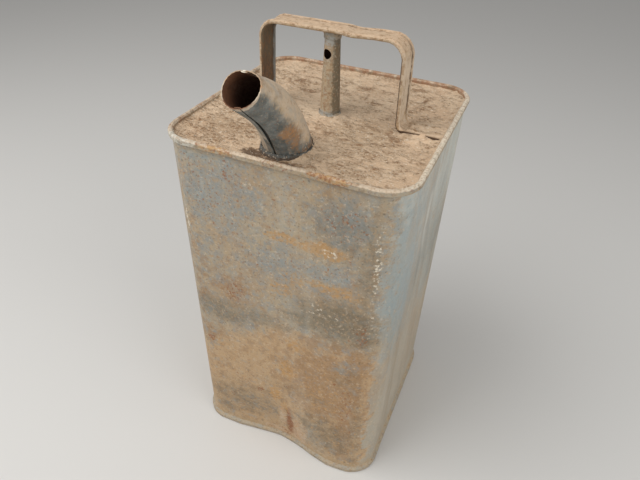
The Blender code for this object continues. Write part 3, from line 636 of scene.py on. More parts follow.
# Where the top panel carries what: place along x and y and half sizes, all in millimetres, and a strength
SMOOTH_DUST = [
    (-8, 22, 26, 24, 1.0),
    (14, 38, 18, 5, 1.0),
    (18, -34, 9, 22, 0.8),
    (-20, 0, 14, 14, 0.7),
]
# Redder dust; its first row is also a painted shadow of the tube and the handle, to the right of the tube
RED_DUST_AND_SHADOW = [(34, -6, 24, 18, 1.0), (12, 70, 12, 6, 0.6), (-60, -40, 16, 14, 0.5)]
DENSE_SPECKS = [
    (46, -34, 40, 30, 0.5),
    (-62, -44, 26, 30, 0.9),
    (-50, 62, 34, 18, 0.7),
    (62, 60, 20, 22, 0.6),
]
SOAKED_DUST_AND_SHADOW = [
    (49, 88, 7, 4, 1.0),
    (-46, 63, 4, 4, 0.9),
    (60, 68, 3, 4, 0.8),
    (-32, 45, 9, 3, 0.8),
    (25, 45, 9, 3, 0.6),
    (8, 70, 7, 3, 0.6),
    (-40, 73, 9, 2, 0.6),
    (26, -22, 4, 2, 0.6),
    (52, 2, 4, 5, 0.6),
    (3, -14, 3, 3, 0.6),
    (12, -18, 3, 3, 0.6),
    (58, -7, 6, 4, 0.7),
    # These three rows are a painted contact shadow between the spout's foot and the rim
    (-20, -65, 8, 5, 0.9),
    (-6, -70, 16, 3, 1.0),
    (12, -69, 8, 2, 0.6),
]
# Wet dust and a painted contact shadow between the spout's foot and the rim, darkest against the rim
WET_DUST_AND_SHADOW = [(-20, -67, 9, 5, 1.0), (-4, -71.5, 20, 2.5, 1.0)]


def on_panel(rows):
    """Rows on the top panel as ellipsoids about its plane."""
    return [((x, y, PANEL_MM), (wide, deep, PANEL_REACH), strength) for x, y, wide, deep, strength in rows]


def dust_crust(colours):
    """Dust caked with kerosene on the top panel: dead matt, crumbly, darker where it is soaked, with painted
    shadow beside the tube and by the spout's foot.
    """
    material, tree, place = new_material("caked_dust")
    frayed = warped(tree, place, 7.0, 5.0)
    # red holds the red dust and the painted shadow right of the tube; soaked holds soaked dust and the
    # painted shadow by the spout's foot
    smooth, red, dense, soaked = (
        patches(tree, frayed, on_panel(rows), 0.6)
        for rows in (SMOOTH_DUST, RED_DUST_AND_SHADOW, DENSE_SPECKS, SOAKED_DUST_AND_SHADOW)
    )
    wet_and_shadow = patches(tree, frayed, on_panel(WET_DUST_AND_SHADOW), 0.7)
    fine = clouds(tree, place, DUST_GRAIN * COARSER, squeeze=(0.9, 1.1, 1))
    fleck = clouds(tree, place, SPECK * COARSER)
    middle = clouds(tree, place, 6.5, squeeze=(0.8, 1.2, 1))
    wide = clouds(tree, place, 28.0)
    rough = weighed(tree, 1.0, [(smooth, -0.8)])
    cluster = sown(tree, middle[1], 0.36, 0.09, (dense, 0.18))
    specks = sown(tree, fine[1], 0.06, 0.08, (overlap(tree, cluster, rough), 0.36), (dense, 0.04))
    layers = [
        ((sown(tree, wide[0], 0.5, 0.14), 0.6), colours.crust_light, 0.95),
        # Redder dust, darkened as a painted shadow to the right of the tube
        ((sown(tree, middle[0], 0.36, 0.14, (red, 0.5), (smooth, -0.2)), 0.55), colours.umber, 0.95),
        ((red, 0.2), colours.grime_and_shade, 0.95),
        ((sown(tree, wide[1], 0.34, 0.12, (smooth, 0.3)), 0.5), colours.crust_light, 0.95),
        ((sown(tree, middle[0], 0.45, 0.14), 0.5), colours.crust_light, 0.95),
        ((sown(tree, fine[0], 0.2, 0.1, (cluster, 0.3)), 0.55), colours.umber, 0.95),
        ((specks, 0.75), colours.crust_dark, 1.0),
        ((rough, sown(tree, middle[2], 0.16, 0.07), 0.5), colours.crust_dark, 1.0),
        ((sown(tree, fine[2], 0.0, 0.2, (soaked, 1.1)), 0.7), colours.crust_dark, 0.9),
        ((sown(tree, fine[0], 0.0, 0.2, (wet_and_shadow, 1.1)), 0.7), colours.rust_dark_and_shade, 0.8),
        ((sown(tree, fleck[2], 0.26, 0.04), 0.6), colours.chip_and_glint, 0.9),
    ]
    crumbs = overlap(tree, fine[0], weighed(tree, 0.3, [(cluster, 1.0)]))
    heights = [(crumbs, 1.2), (overlap(tree, fleck[0], rough), 0.4), (middle[1], 1.4)]
    coat(tree, colours.crust, 0.95, layers, heights)
    return material


def dusty_strap(colours):
    """Rolled steel strap, once enamelled: dust on what faces up, brown rust and thin paint on its sides, and
    painted shade on the right leg's inner face and at its feet.
    """
    material, tree, place = new_material("dusty_rolled_strap")
    split = add(tree, "SeparateXYZ", {0: place}).outputs
    facing = add(tree, "SeparateXYZ", {0: add(tree, "NewGeometry").outputs["Normal"]}).outputs
    offset = add(tree, "Math", {0: split["Y"], 1: STRAP_MIDDLE_MM}, operation="SUBTRACT").outputs[0]
    across = add(tree, "Math", {0: offset}, operation="ABSOLUTE").outputs[0]
    above_foot = band(tree, split["Z"], (PANEL_MM + 3, PANEL_MM + 14))
    crevice = band(tree, across, (CREVICE - 1.8, CREVICE - 0.4), (CREVICE + 0.9, CREVICE))
    crevice = overlap(tree, crevice, above_foot)
    up = band(tree, facing["Z"], (0.1, 0.6))
    high = band(tree, split["Z"], (338.0, 366.0))
    # The left leg: old rust on its inner face, cleaner paint along its rear bead
    on_left = band(tree, split["X"], (-20.0, -30.0))
    shut_in = overlap(tree, band(tree, facing["X"], (0.1, 0.5)), on_left)
    rear_bead = overlap(tree, band(tree, offset, (5.5, 7.0)), on_left)
    # The right leg: painted shade on its inner face, a dark line behind its rear bead, and rubbed paint on
    # its outer face
    upright = band(tree, split["Z"], (STRAP_TOP_MM - 8, STRAP_TOP_MM - 14))
    right_leg = overlap(tree, upright, band(tree, split["X"], (40.0, 50.0)))
    shaded_inner_face = overlap(tree, right_leg, band(tree, facing["X"], (0.1, -0.3)))
    outer_face = overlap(tree, right_leg, band(tree, facing["X"], (0.5, 0.8)))
    clear_of_foot = band(tree, split["Z"], (PANEL_MM + 8, PANEL_MM + 14))
    rear_line = overlap(tree, right_leg, band(tree, offset, (4.6, 5.8), (6.9, 6.4)), clear_of_foot)
    # Painted shadow where the feet meet the dust and along their front edge
    contact_shadow = band(tree, split["Z"], (PANEL_MM + 2.4, PANEL_MM + 1.2))
    foot_low = band(tree, split["Z"], (PANEL_MM + 3.6, PANEL_MM + 3.0))
    foot_front_shadow = overlap(tree, foot_low, band(tree, offset, (-5.0, -7.0)))
    fine = clouds(tree, place, RUST_GRAIN * COARSER, squeeze=(0.6, 1.3, 0.6))
    fleck = clouds(tree, place, SPECK * COARSER)
    blot = clouds(tree, place, 7.0, squeeze=(0.7, 1.2, 0.7))
    layers = [
        ((sown(tree, blot[0], 0.6, 0.1), 0.7), colours.pale, 0.85),
        ((sown(tree, fine[0], 0.45, 0.08), 0.6), colours.umber, 0.85),
        ((shut_in, 0.9), colours.rust_dark_and_shade, 0.8),
        ((shut_in, sown(tree, fine[2], 0.4, 0.1), 0.3), colours.rust, 0.8),
        ((shut_in, sown(tree, blot[1], 0.0, 0.2, (high, 0.8)), 0.6), colours.grime_and_shade, 0.8),
        ((rear_bead, 0.8), colours.paint_blue, 0.7),
        ((up, sown(tree, blot[1], 0.85, 0.1), 0.85), colours.crust, 0.95),
        ((up, sown(tree, fine[1], 0.42, 0.1), 0.4), colours.crust_light, 0.95),
        ((up, sown(tree, blot[2], 0.5, 0.16), 0.25), colours.paint, 0.9),
        ((sown(tree, fine[2], 0.34, 0.06), 0.6), colours.crust_dark, 0.95),
        ((sown(tree, fleck[0], 0.28, 0.05), 0.5), colours.crust_dark, 0.95),
        ((up, sown(tree, fleck[1], 0.26, 0.05), 0.5), colours.crust_light, 0.9),
        ((outer_face, sown(tree, blot[1], 0.6, 0.14), 0.7), colours.pale, 0.8),
        ((crevice, sown(tree, blot[2], 0.55, 0.14), 0.6), colours.rust_dark_and_shade, 0.95),
        # Painted shade on the right leg's inner face, and painted shadow at the feet below
        ((shaded_inner_face, 0.85), colours.rust_dark_and_shade, 0.95),
        ((rear_line, sown(tree, fine[0], 0.62, 0.1), 0.8), colours.rust_dark_and_shade, 0.95),
        ((contact_shadow,), colours.rust_dark_and_shade, 0.95),
        ((foot_front_shadow,), colours.rust_dark_and_shade, 0.95),
    ]
    coat(tree, colours.film, 0.7, layers, [(fine[0], 0.5), (blot[0], 0.5), (fleck[0], -0.35)])
    return material


# Worn places on the spout, and a painted glint on its lip: a centre and reaches in millimetres, and a
# strength
SPOUT_RUST_PATCHES = [((6.5, -67.5, 340), (7, 7, 6), 1.0), ((9, -62.5, 333), (4, 4, 9), 0.9)]
LIP_GLINT_PATCHES = [((-10.3, -88.9, 383.0), (1.4, 1.8, 1.4), 1.0)]


def spout_ways(tree, place):
    """Length along the spout, height over its middle line, and a mask of its inner faces, in millimetres."""
    foot = [SPOUT_FOOT.x / MM, SPOUT_FOOT.y / MM, PANEL_MM]
    back = {"Vector": place, "Center": foot, "Angle": -SPOUT_TURN}
    turned = add(tree, "VectorRotate", back, rotation_type="Z_AXIS")
    ahead = SPOUT_BEND * math.cos(SPOUT_TILT)
    below = SPOUT_BEND * math.sin(SPOUT_TILT)
    centre = [foot[0], foot[1] - ahead, foot[2] - below]
    arm = add(tree, "VectorMath", {0: turned.outputs[0], 1: centre}, operation="SUBTRACT").outputs[0]
    flat = add(tree, "VectorMath", {0: arm, 1: (0, 1, 1)}, operation="MULTIPLY").outputs[0]
    reach = add(tree, "VectorMath", {0: flat}, operation="LENGTH").outputs["Value"]
    height = add(tree, "Math", {0: reach, 1: SPOUT_BEND}, operation="SUBTRACT").outputs[0]
    split = add(tree, "SeparateXYZ", {0: arm}).outputs
    angle = add(tree, "Math", {0: split["Z"], 1: split["Y"]}, operation="ARCTAN2").outputs[0]
    feeds = {0: angle, 1: SPOUT_BEND, 2: -SPOUT_TILT * SPOUT_BEND}
    along = add(tree, "Math", feeds, operation="MULTIPLY_ADD").outputs[0]
    unit = add(tree, "VectorMath", {0: flat}, operation="NORMALIZE").outputs[0]
    upward = add(tree, "VectorMath", {0: unit, "Scale": height}, operation="SCALE").outputs[0]
    sideways = add(tree, "VectorMath", {0: arm, 1: (1, 0, 0)}, operation="MULTIPLY").outputs[0]
    outward = add(tree, "VectorMath", {0: upward, 1: sideways}, operation="ADD").outputs[0]
    normal = add(tree, "NewGeometry").outputs["True Normal"]
    facing = add(tree, "VectorMath", {0: outward, 1: normal}, operation="DOT_PRODUCT").outputs["Value"]
    return along, height, band(tree, facing, (-1.0, -3.0))


def spout_enamel(colours):
    """Dark enamel on pressed steel: satin grey below, filmed with dust above, rust where it wore through."""
    material, tree, place = new_material("dark_enamel")
    along, height, inside = spout_ways(tree, place)
    fine = clouds(tree, place, RUST_GRAIN * COARSER)
    fleck = clouds(tree, place, SPECK * COARSER)
    blot = clouds(tree, place, 7.0)
    dust_line = weighed(tree, height, [(band(tree, along, (48.0, 78.0)), -6.0)])
    dusty = overlap(tree, band(tree, dust_line, (-8.0, 3.0)), band(tree, along, (4.0, 16.0)))
    lip = band(tree, weighed(tree, along, [(height, 0.17)]), (76.2, 77.2))
    brow = overlap(tree, band(tree, along, (66.0, 76.0)), band(tree, height, (2.0, 9.0)))
    throat = overlap(tree, inside, band(tree, along, (58.0, 74.0)))
    foot = band(tree, along, (12.0, 3.0))
    rust = patches(tree, warped(tree, place, 7.0, 3.0), SPOUT_RUST_PATCHES, 0.7)
    lip_glint = patches(tree, place, LIP_GLINT_PATCHES, 0.5)
    facing = add(tree, "SeparateXYZ", {0: add(tree, "NewGeometry").outputs["Normal"]}).outputs["X"]
    flank = overlap(tree, band(tree, facing, (-0.15, -0.45)), band(tree, along, (58.0, 40.0)))
    layers = [
        ((sown(tree, blot[0], 0.5, 0.12), 0.4), colours.paint_blue, 0.5),
        ((sown(tree, fine[0], 0.0, 0.24, (dusty, 1.15)), 0.95), colours.film, 0.85),
        ((sown(tree, blot[0], dusty, 0.2), 0.6), colours.pale, 0.85),
        ((dusty, sown(tree, blot[1], 0.44, 0.14), 0.45), colours.paint_blue, 0.7),
        ((dusty, sown(tree, blot[2], 0.24, 0.14, (brow, 0.5)), 0.6), colours.umber, 0.7),
        ((sown(tree, blot[1], 0.0, 0.2, (flank, 0.9)), 0.7), colours.pale, 0.7),
        ((sown(tree, fine[1], 0.0, 0.2, (rust, 0.8)), 0.75), colours.umber, 0.9),
        ((sown(tree, fine[2], 0.0, 0.2, (rust, 0.5)), 0.5), colours.rust_bright, 0.9),
        ((sown(tree, fine[1], 0.0, 0.1, (foot, 0.7)), 0.7), colours.crust_dark, 0.9),
        ((sown(tree, fleck[0], 0.2, 0.05, (foot, 0.12)), 0.6), colours.pale, 0.85),
        ((sown(tree, fleck[1], 0.24, 0.05, (lip, 0.1)), 0.6), colours.rust, 0.85),
        ((sown(tree, blot[2], 0.0, 0.12, (lip, 0.8)), 0.8), colours.pale, 0.8),
        ((sown(tree, blot[0], 0.0, 0.12, (overlap(tree, lip, brow), 1.2)), 0.8), colours.rust_bright, 0.8),
        ((inside, weighed(tree, 0.75, [(fine[0], 0.4)])), colours.soot, 0.9),
        ((throat, sown(tree, blot[1], 0.7, 0.2), 0.6), colours.rust, 0.9),
        # Painted glint: a white fleck on the spout's lip
        ((lip_glint,), colours.chip_and_glint, 0.6),
    ]
    heights = [(fine[0], 0.15), (blot[0], 0.3), (overlap(tree, foot, fleck[0]), 1.0)]
    coat(tree, colours.paint_dark, 0.45, layers, heights)
    return material


def tube_enamel(colours):
    """The tube's thin enamel under a film of dust, with painted shade darkening its right side."""
    material, tree, place = new_material("dusty_tube_enamel")
    arm = add(tree, "VectorMath", {0: place, 1: (0, AXIS_Y / MM, 0)}, operation="SUBTRACT").outputs[0]
    height = add(tree, "SeparateXYZ", {0: arm}).outputs["Z"]
    flat = add(tree, "VectorMath", {0: arm, 1: (1, 1, 0)}, operation="MULTIPLY").outputs[0]
    unit = add(tree, "VectorMath", {0: flat}, operation="NORMALIZE").outputs[0]
    right = add(tree, "SeparateXYZ", {0: unit}).outputs["X"]
    normal = add(tree, "NewGeometry").outputs["True Normal"]
    facing = add(tree, "VectorMath", {0: unit, 1: normal}, operation="DOT_PRODUCT").outputs["Value"]
    inside = band(tree, facing, (-0.1, -0.5))
    shaded = band(tree, right, (0.25, 0.8))
    neck = band(tree, height, (TUBE_TOP_MM - 11, TUBE_TOP_MM - 5))
    heel = band(tree, height, (PANEL_MM + 7, PANEL_MM + 3))
    fine = clouds(tree, place, RUST_GRAIN * COARSER)
    fleck = clouds(tree, place, SPECK * COARSER)
    blot = clouds(tree, place, 6.0, squeeze=(1, 1, 0.5))
    layers = [
        ((sown(tree, blot[0], 0.5, 0.12), 0.7), colours.film, 0.85),
        ((sown(tree, fine[0], 0.45, 0.08), 0.6), colours.umber, 0.8),
        ((sown(tree, fine[1], 0.0, 0.12, (neck, 1.0), (heel, 1.0)), 0.9), colours.solder, 0.6),
        # Painted shade: the grime colour darkens the tube's right side
        ((sown(tree, fine[2], shaded, 0.2), 0.85), colours.grime_and_shade, 0.7),
        ((sown(tree, fleck[0], 0.3, 0.06), 0.45), colours.pale, 0.8),
        ((sown(tree, fleck[1], 0.36, 0.06), 0.5), colours.crust_dark, 0.8),
        ((inside,), colours.soot, 0.9),
    ]
    coat(tree, colours.paint, 0.6, layers, [(fine[0], 0.3), (fleck[0], 0.25)])
    return material


def ledge_dust(colours):
    """Dust washed down the wall and caked on the lower seam's ledge: matt, tan, darker in its hollows."""
    material, tree, place = new_material("washed_dust")
    fine = clouds(tree, place, RUST_GRAIN * COARSER)
    blot = clouds(tree, place, 7.0)
    layers = [
        ((sown(tree, blot[0], 0.5, 0.1), 0.6), colours.film, 0.9),
        ((sown(tree, blot[1], 0.4, 0.1), 0.5), colours.paint_blue, 0.9),
        ((sown(tree, fine[0], 0.35, 0.06), 0.5), colours.umber, 0.9),
        ((sown(tree, fine[1], 0.3, 0.06), 0.5), colours.crust_dark, 0.9),
    ]
    coat(tree, colours.paint, 0.9, layers, [(fine[0], 0.5), (blot[0], 0.5)])
    return material


def soft_solder(colours):
    """Tin-lead solder wiped on and oxidised: dull grey metal with a soft sheen and dust in its hollows."""
    material, tree, place = new_material("soft_solder")
    fine = clouds(tree, place, SOLDER_PIT * COARSER)
    blot = clouds(tree, place, 5.0)
    layers = [
        ((sown(tree, blot[0], 0.5, 0.1), 0.6), colours.film, 0.85),
        ((sown(tree, fine[0], 0.35, 0.06), 0.6), colours.grime_and_shade, 0.85),
    ]
    coat(tree, colours.solder, 0.5, layers, [(fine[0], 0.3), (blot[0], 0.5)])
    # Its oxide and its dust hide most of the metal
    tree.nodes["Principled BSDF"].inputs["Metallic"].default_value = 0.3
    return material


def grimy_solder(colours):
    """The same solder round the spout, painted over with the spout and caked with dust at its edge."""
    material, tree, place = new_material("painted_solder")
    fine = clouds(tree, place, SOLDER_PIT * COARSER)
    blot = clouds(tree, place, 5.0)
    height = add(tree, "SeparateXYZ", {0: place}).outputs["Z"]
    low = band(tree, height, (PANEL_MM + 3.4, PANEL_MM + 1.6))
    layers = [
        ((sown(tree, blot[0], 0.4, 0.1), 0.3), colours.paint_blue, 0.7),
        ((sown(tree, fine[0], 0.55, 0.12), 0.6), colours.rust_dark_and_shade, 0.9),
        ((sown(tree, fine[1], 0.0, 0.14, (low, 0.9)), 0.75), colours.rust_dark_and_shade, 0.95),
        ((sown(tree, fine[2], 0.3, 0.05), 0.7), colours.pale, 0.9),
    ]
    coat(tree, colours.paint_dark, 0.8, layers, [(fine[0], 0.9), (blot[0], 0.8)])
    return material


def give(nodes, material):
    """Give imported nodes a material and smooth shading."""
    for name in nodes:
        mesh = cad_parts[name].data
        mesh.materials.clear()
        mesh.materials.append(material)
        mesh.shade_smooth()
        mesh.set_sharp_from_angle(angle=SHARP)


def add_piece(name, body, material):
    """Turn a bmesh into a smooth piece that rides on the can and takes the given material."""
    bmesh.ops.recalc_face_normals(body, faces=body.faces)
    mesh = bpy.data.meshes.new(name)
    body.to_mesh(mesh)
    body.free()
    mesh.materials.append(material)
    mesh.shade_smooth()
    mesh.set_sharp_from_angle(angle=SHARP)
    piece = bpy.data.objects.new(name, mesh)
    bpy.context.scene.collection.objects.link(piece)
    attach(piece, "root")
    return piece


class MakeWall(bpy.types.Operator):
    """Paint the wrapped wall."""

    bl_idname = "kerosene_can.make_wall"
    bl_label = "Wall"

    def execute(self, context):
        give(["body_wall"], weathered_enamel(context.scene.can_colours))
        return {"FINISHED"}


class MakeSeams(bpy.types.Operator):
    """Paint the two end panels and their seams."""

    bl_idname = "kerosene_can.make_seams"
    bl_label = "Seams"

    def execute(self, context):
        give(["top_panel", "bottom_panel"], seam_enamel(context.scene.can_colours))
        return {"FINISHED"}


def inside_rim(x, y, inner, radius):
    """The nearest place inside the panel's rounded square, and how far the place lies from its edge."""
    corner = inner - radius
    away = Vector((max(abs(x) - corner, 0), max(abs(y) - corner, 0)))
    depth = radius - away.length if away.length else inner - max(abs(x), abs(y))
    if depth < 0:
        away *= radius / away.length
        x = math.copysign(min(abs(x), corner) + away.x, x)
        y = math.copysign(min(abs(y), corner) + away.y, y)
    return x, y, depth


def outside_hole(x, y, hole):
    """The nearest place outside an elliptical hole, and how far the place lies from its edge."""
    middle_x, middle_y, wide, deep = hole
    local = Vector(((x - middle_x) / wide, (y - middle_y) / deep))
    depth = (local.length - 1) * min(wide, deep)
    if depth < 0:
        local.normalize()
        x, y = middle_x + local.x * wide, middle_y + local.y * deep
    return x, y, depth


def eased(value, start, full):
    """0 at start, 1 at full, with level ends."""
    share = min(max((value - start) / (full - start), 0), 1)
    return share * share * (3 - 2 * share)


def crust_holes():
    """Where the tube and the spout stand in the crust: middle and half sizes, from the panel's middle."""
    tube = (0, 0, TUBE_HIGH.x + HOLE_CLEARANCE, TUBE_HIGH.x + HOLE_CLEARANCE)
    half = (SOLDER_HIGH - SOLDER_LOW) / 2
    spout = (SPOUT_FOOT.x, SPOUT_FOOT.y - AXIS_Y - SPOUT_LEAN, half.x - SOLDER_LAP, half.y - SOLDER_LAP)
    return tube, spout


def crust_height(x, y, from_edges, sizes):
    """Height of the dust over the panel: its grain, its drifts and how it covers the strap's feet."""
    from_rim, from_tube, from_spout = from_edges
    spot = Vector((x, y, 0))
    swept = eased(math.hypot(x - SWEPT_X, y - SWEPT_Y), SWEPT_OUTER, SWEPT_INNER)
    swept = max(swept, eased(from_tube, TUBE_RING, 0))
    crumbs = noise.fractal(spot / CRUMB_PITCH, OCTAVE_FALL, OCTAVE_STEP, CRUMB_OCTAVES)
    crumbs *= sizes.crumb * (1 - SWEPT_SHARE * swept)
    clods = max(noise.noise(spot / CLOD_PITCH) - CLOD_LEVEL_SHARE, 0) * sizes.crumb * CLOD_SHARE * (1 - swept)
    swell = noise.noise(spot / SWELL_PITCH) * sizes.crust_depth * SWELL_SHARE
    # Drifts against the tube and on the spout's lee side
    slant = x - SPOUT_FOOT.x + (y + AXIS_Y - SPOUT_FOOT.y) * LEE_SLANT_SHARE
    lee = WINDWARD_SHARE + (1 - WINDWARD_SHARE) * eased(slant, -LEE_REACH, LEE_REACH)
    depth = sizes.crust_depth + crumbs + clods + swell
    depth += TUBE_DRIFT * math.exp(-max(from_tube, 0) / DRIFT_FALL)
    depth += SPOUT_DRIFT * lee * math.exp(-max(from_spout, 0) / SPOUT_DRIFT_FALL)
    # The strap's feet, covered from a little way outside the legs on, and the apron before them
    front = STRAP_LOW.y - AXIS_Y
    rear = STRAP_HIGH.y - AXIS_Y
    outward = abs(x - STRAP_X) - LEG_OUT
    lumps = APRON_SHARE + APRON_LUMP_SHARE * noise.noise(spot / APRON_PITCH)
    apron = eased(outward, 0, APRON_WIDTH) * eased(y, front - APRON_LENGTH, front - APRON_END) * lumps
    frayed = y + noise.noise(spot / COVER_PITCH) * COVER_FRAY - front
    cover = eased(outward, COVER_START, COVER_FULL) * eased(frayed, COVER_EDGE, COVER_EDGE + COVER_SLOPE)
    over_foot = FOOT_HEIGHT * max(cover, apron) * eased(y, rear + REAR_SLOPE, rear - REAR_OVERLAP)
    # The drift against the rim, lower along the rear and the left side
    at_rear = eased(y, *REAR_RIM)
    at_left = eased(x, *LEFT_RIM) * (1 - at_rear)
    sheltered = 1 - REAR_RIM_SHARE * at_rear - LEFT_RIM_SHARE * at_left
    at_rim = RIM_DRIFT * sheltered * math.exp(-max(from_rim, 0) / DRIFT_FALL)
    return max(depth, SHEET / 2) + max(over_foot, at_rim)


def crust_body(sizes):
    """The crust as a closed solid: its surface, a skirt down to the panel and a flat underside."""
    cell = sizes.crust_cell
    inner = RIM_HALF - RIM_INSET
    holes = crust_holes()
    count = int(inner * 2 / cell) + 2
    body = bmesh.new()
    grid = {}
    depths = {}
    for i in range(count + 1):
        for j in range(count + 1):
            x, y, from_rim = inside_rim((i - count / 2) * cell, (j - count / 2) * cell, inner, PANEL_CORNER)
            edges = [from_rim]
            for hole in holes:
                x, y, away = outside_hole(x, y, hole)
                edges.append(away)
            height = PANEL_TOP + crust_height(x, y, edges, sizes)
            grid[i, j] = body.verts.new((x, y + AXIS_Y, height))
            depths[i, j] = min(edges)
    for i in range(count):
        for j in range(count):
            # A cell wholly past an edge has been drawn flat onto it, so it gets no face
            keys = ((i, j), (i + 1, j), (i + 1, j + 1), (i, j + 1))
            if max(depths[key] for key in keys) > 0:
                body.faces.new([grid[key] for key in keys])
    loose = [vertex for vertex in body.verts if not vertex.link_faces]
    bmesh.ops.delete(body, geom=loose, context="VERTS")
    bmesh.ops.dissolve_degenerate(body, edges=body.edges, dist=cell * SLIVER_SHARE)
    rim = [edge for edge in body.edges if edge.is_boundary]
    skirt = bmesh.ops.extrude_edge_only(body, edges=rim)["geom"]
    for part in skirt:
        if isinstance(part, bmesh.types.BMVert):
            part.co.z = PANEL_TOP + SEAT
    low = [part for part in skirt if isinstance(part, bmesh.types.BMEdge) and part.is_boundary]
    bmesh.ops.triangle_fill(body, use_beauty=True, use_dissolve=False, edges=low)
    return body


class MakeCrust(bpy.types.Operator):
    """Lay the dust crust on the top panel."""

    bl_idname = "kerosene_can.make_crust"
    bl_label = "Dust crust"

    def execute(self, context):
        scene = context.scene
        add_piece("dust_crust", crust_body(scene.can_sizes), dust_crust(scene.can_colours))
        return {"FINISHED"}


def ledge_body(sizes):
    """Dust on the lower seam's ledge: a bead that follows the wall, found by rays from all round."""
    wall = BVHTree.FromObject(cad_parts["body_wall"], bpy.context.evaluated_depsgraph_get())
    seam = BVHTree.FromObject(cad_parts["bottom_panel"], bpy.context.evaluated_depsgraph_get())
    body = bmesh.new()
    rings = []
    for step in range(LEDGE_STEPS):
        angle = math.tau * step / LEDGE_STEPS
        out = Vector((math.sin(angle), -math.cos(angle), 0))
        start = Vector((0, AXIS_Y, 0)) + out * RIM_HALF * 2
        on_wall = wall.ray_cast(start + Vector((0, 0, LEDGE_TOP + sizes.ledge)), -out)[0]
        on_seam = seam.ray_cast(start + Vector((0, 0, LEDGE_TOP - SHEET)), -out)[0]
        if on_wall is None or on_seam is None:
            raise RuntimeError("no wall or seam was found for the dust on the ledge")
        rough = 1 + LEDGE_ROUGH_SHARE * noise.noise(on_wall / LEDGE_PITCH)
        inner = Vector((on_wall.x, on_wall.y, 0)) - out * SEAT
        outer = Vector((on_seam.x, on_seam.y, 0)) + out * SEAT
        middle = inner.lerp(outer, 0.5)
        profile = (
            (inner, LEDGE_TOP - SHEET),
            (outer, LEDGE_TOP - SHEET * 2),
            (outer, LEDGE_TOP),
            (middle, LEDGE_TOP + sizes.ledge * LEDGE_MIDDLE_SHARE * rough),
            (inner, LEDGE_TOP + sizes.ledge * rough),
        )
        rings.append([body.verts.new((place.x, place.y, height)) for place, height in profile])
    for ring, after in zip(rings, rings[1:] + rings[:1]):
        for index in range(len(ring)):
            beyond = (index + 1) % len(ring)
            body.faces.new((ring[index], ring[beyond], after[beyond], after[index]))
    return body


class MakeLedgeDust(bpy.types.Operator):
    """Lay dust on the ledge of the lower seam."""

    bl_idname = "kerosene_can.make_ledge_dust"
    bl_label = "Ledge dust"

    def execute(self, context):
        scene = context.scene
        add_piece("ledge_dust", ledge_body(scene.can_sizes), ledge_dust(scene.can_colours))
        return {"FINISHED"}


class MakeSpout(bpy.types.Operator):
    """Paint the spout's halves and the air tube."""

    bl_idname = "kerosene_can.make_spout"
    bl_label = "Spout and tube"

    def execute(self, context):
        give(["spout_left_half", "spout_right_half"], spout_enamel(context.scene.can_colours))
        give(["air_tube"], tube_enamel(context.scene.can_colours))
        return {"FINISHED"}


class MakeHandle(bpy.types.Operator):
    """Finish the strap handle."""

    bl_idname = "kerosene_can.make_handle"
    bl_label = "Handle"

    def execute(self, context):
        give(["handle_strap"], dusty_strap(context.scene.can_colours))
        return {"FINISHED"}


def lumpy_body(node, sizes, run_out):
    """A packed bead of solder, split finely, raised into lumps and run out ahead at its foot."""
    body = bmesh.new()
    body.from_mesh(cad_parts[node].data)
    bmesh.ops.remove_doubles(body, verts=body.verts, dist=SEAT)
    for _ in range(SOLDER_CUTS):
        long_edges = [edge for edge in body.edges if edge.calc_length() > SOLDER_CELL]
        bmesh.ops.subdivide_edges(body, edges=long_edges, cuts=1, use_grid_fill=True)
        bmesh.ops.triangulate(body, faces=[face for face in body.faces if len(face.verts) > 4])
    body.normal_update()
    low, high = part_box(node)
    middle = (low + high) / 2
    for vertex in body.verts:
        out = ((vertex.co - middle) * Vector((1, 1, 0))).normalized()
        # The inner face closes the clearance to the tube or spout that it holds, and stays smooth
        if vertex.normal.dot(out) < INWARD:
            vertex.co += vertex.normal * SOLDER_GAP
            continue
        lump = noise.fractal(vertex.co / SOLDER_PITCH, OCTAVE_FALL, OCTAVE_STEP, SOLDER_OCTAVES) * sizes.lump
        ahead = eased(vertex.co.z, high.z, low.z + SHEET) * max(-out.y, 0) ** RUN_TAPER
        vertex.co += vertex.normal * lump + out * ahead * run_out
    return body


class MakeSolder(bpy.types.Operator):
    """Replace the visible solder by lumpy beads and finish the rest."""

    bl_idname = "kerosene_can.make_solder"
    bl_label = "Solder"

    def execute(self, context):
        scene = context.scene
        bare = soft_solder(scene.can_colours)
        grimy = grimy_solder(scene.can_colours)
        beads = (
            ("spout_solder", grimy, scene.can_sizes.run_out),
            ("air_tube_foot_solder", bare, 0),
            ("air_tube_top_solder", bare, 0),
        )
        for node, material, run_out in beads:
            body = lumpy_body(node, scene.can_sizes, run_out)
            bead = add_piece("lumpy_" + node, body, material)
            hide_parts(node)
        give(["lock_seam_foot_solder", "lock_seam_top_solder"], bare)
        return {"FINISHED"}


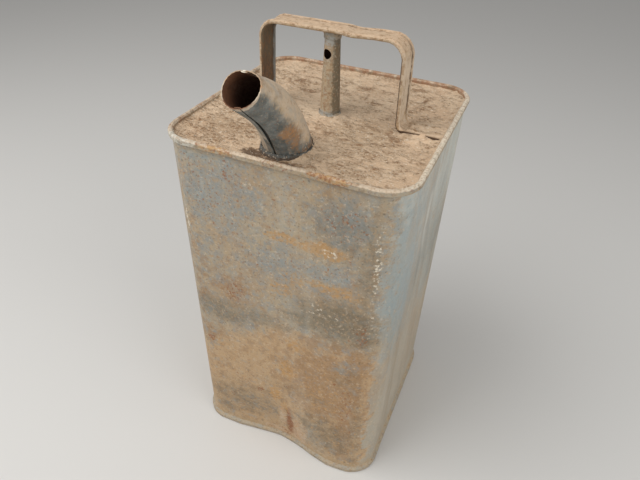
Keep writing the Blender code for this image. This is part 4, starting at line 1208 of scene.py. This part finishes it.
class MakeStage(bpy.types.Operator):
    """Set the floor, the lights and the camera."""

    bl_idname = "kerosene_can.make_stage"
    bl_label = "Stage"

    def execute(self, context):
        scene = context.scene
        settings = scene.can_stage
        bpy.ops.mesh.primitive_plane_add(size=FLOOR_SIZE)
        floor = context.object
        floor.name = "floor"
        material = bpy.data.materials.new("pale_floor")
        material.use_nodes = True
        shader = material.node_tree.nodes["Principled BSDF"]
        shader.inputs["Base Color"].default_value = opaque(settings.floor)
        shader.inputs["Roughness"].default_value = FLOOR_ROUGHNESS
        floor.data.materials.append(material)
        turn = Matrix.Rotation(settings.azimuth, 4, "Z")
        tilt = Matrix.Rotation(QUARTER_TURN - settings.elevation, 4, "X")
        lean = Matrix.Rotation(settings.roll, 4, "Z")
        away = Matrix.Translation((0, 0, settings.distance))
        lens = bpy.data.cameras.new("camera")
        lens.lens = settings.lens
        lens.sensor_width = FILM_WIDTH_MM
        lens.clip_start = NEAREST
        camera = bpy.data.objects.new("camera", lens)
        scene.collection.objects.link(camera)
        camera.matrix_world = Matrix.Translation(TARGET) @ turn @ tilt @ away @ lean
        scene.camera = camera
        for name, azimuth, elevation, reach, size, power in LIGHTS:
            lamp = bpy.data.lights.new(name, "AREA")
            lamp.size = size
            lamp.energy = power
            light = bpy.data.objects.new(name, lamp)
            scene.collection.objects.link(light)
            spin = Matrix.Rotation(math.radians(azimuth), 4, "Z")
            rise = Matrix.Rotation(QUARTER_TURN - math.radians(elevation), 4, "X")
            light.matrix_world = Matrix.Translation(TARGET) @ spin @ rise @ Matrix.Translation((0, 0, reach))
        world = bpy.data.worlds.new("studio")
        world.use_nodes = True
        sky = world.node_tree.nodes["Background"]
        sky.inputs["Color"].default_value = (1, 1, 1, 1)
        sky.inputs["Strength"].default_value = SKY_STRENGTH
        scene.world = world
        scene.view_settings.view_transform = "Standard"
        return {"FINISHED"}


class CanPanel(bpy.types.Panel):
    """Lists the steps that dress the can."""

    bl_idname = "VIEW3D_PT_kerosene_can"
    bl_label = "Kerosene Can"
    bl_space_type = "VIEW_3D"
    bl_region_type = "UI"
    bl_category = "Kerosene Can"

    def draw(self, context):
        for step in STEPS:
            self.layout.operator(step.bl_idname)
        for group in (context.scene.can_colours, context.scene.can_sizes, context.scene.can_stage):
            for name in group.__annotations__:
                self.layout.prop(group, name)


GROUPS = {"can_colours": CanColours, "can_sizes": CanSizes, "can_stage": StageSettings}
STEPS = (MakeStage, MakeWall, MakeSeams, MakeCrust, MakeLedgeDust, MakeSpout, MakeHandle, MakeSolder)


def register():
    """Add the settings, the steps and the panel to Blender."""
    for cls in (*GROUPS.values(), *STEPS, CanPanel):
        bpy.utils.register_class(cls)
    for name, group in GROUPS.items():
        setattr(bpy.types.Scene, name, bpy.props.PointerProperty(type=group))


def unregister():
    """Take them out again."""
    for name in GROUPS:
        delattr(bpy.types.Scene, name)
    for cls in reversed((*GROUPS.values(), *STEPS, CanPanel)):
        bpy.utils.unregister_class(cls)


def main():
    """Run every step in order."""
    register()
    steps = bpy.ops.kerosene_can
    steps.make_stage()
    steps.make_wall()
    steps.make_seams()
    steps.make_crust()
    steps.make_ledge_dust()
    steps.make_spout()
    steps.make_handle()
    steps.make_solder()


if __name__ == "__main__":
    main()
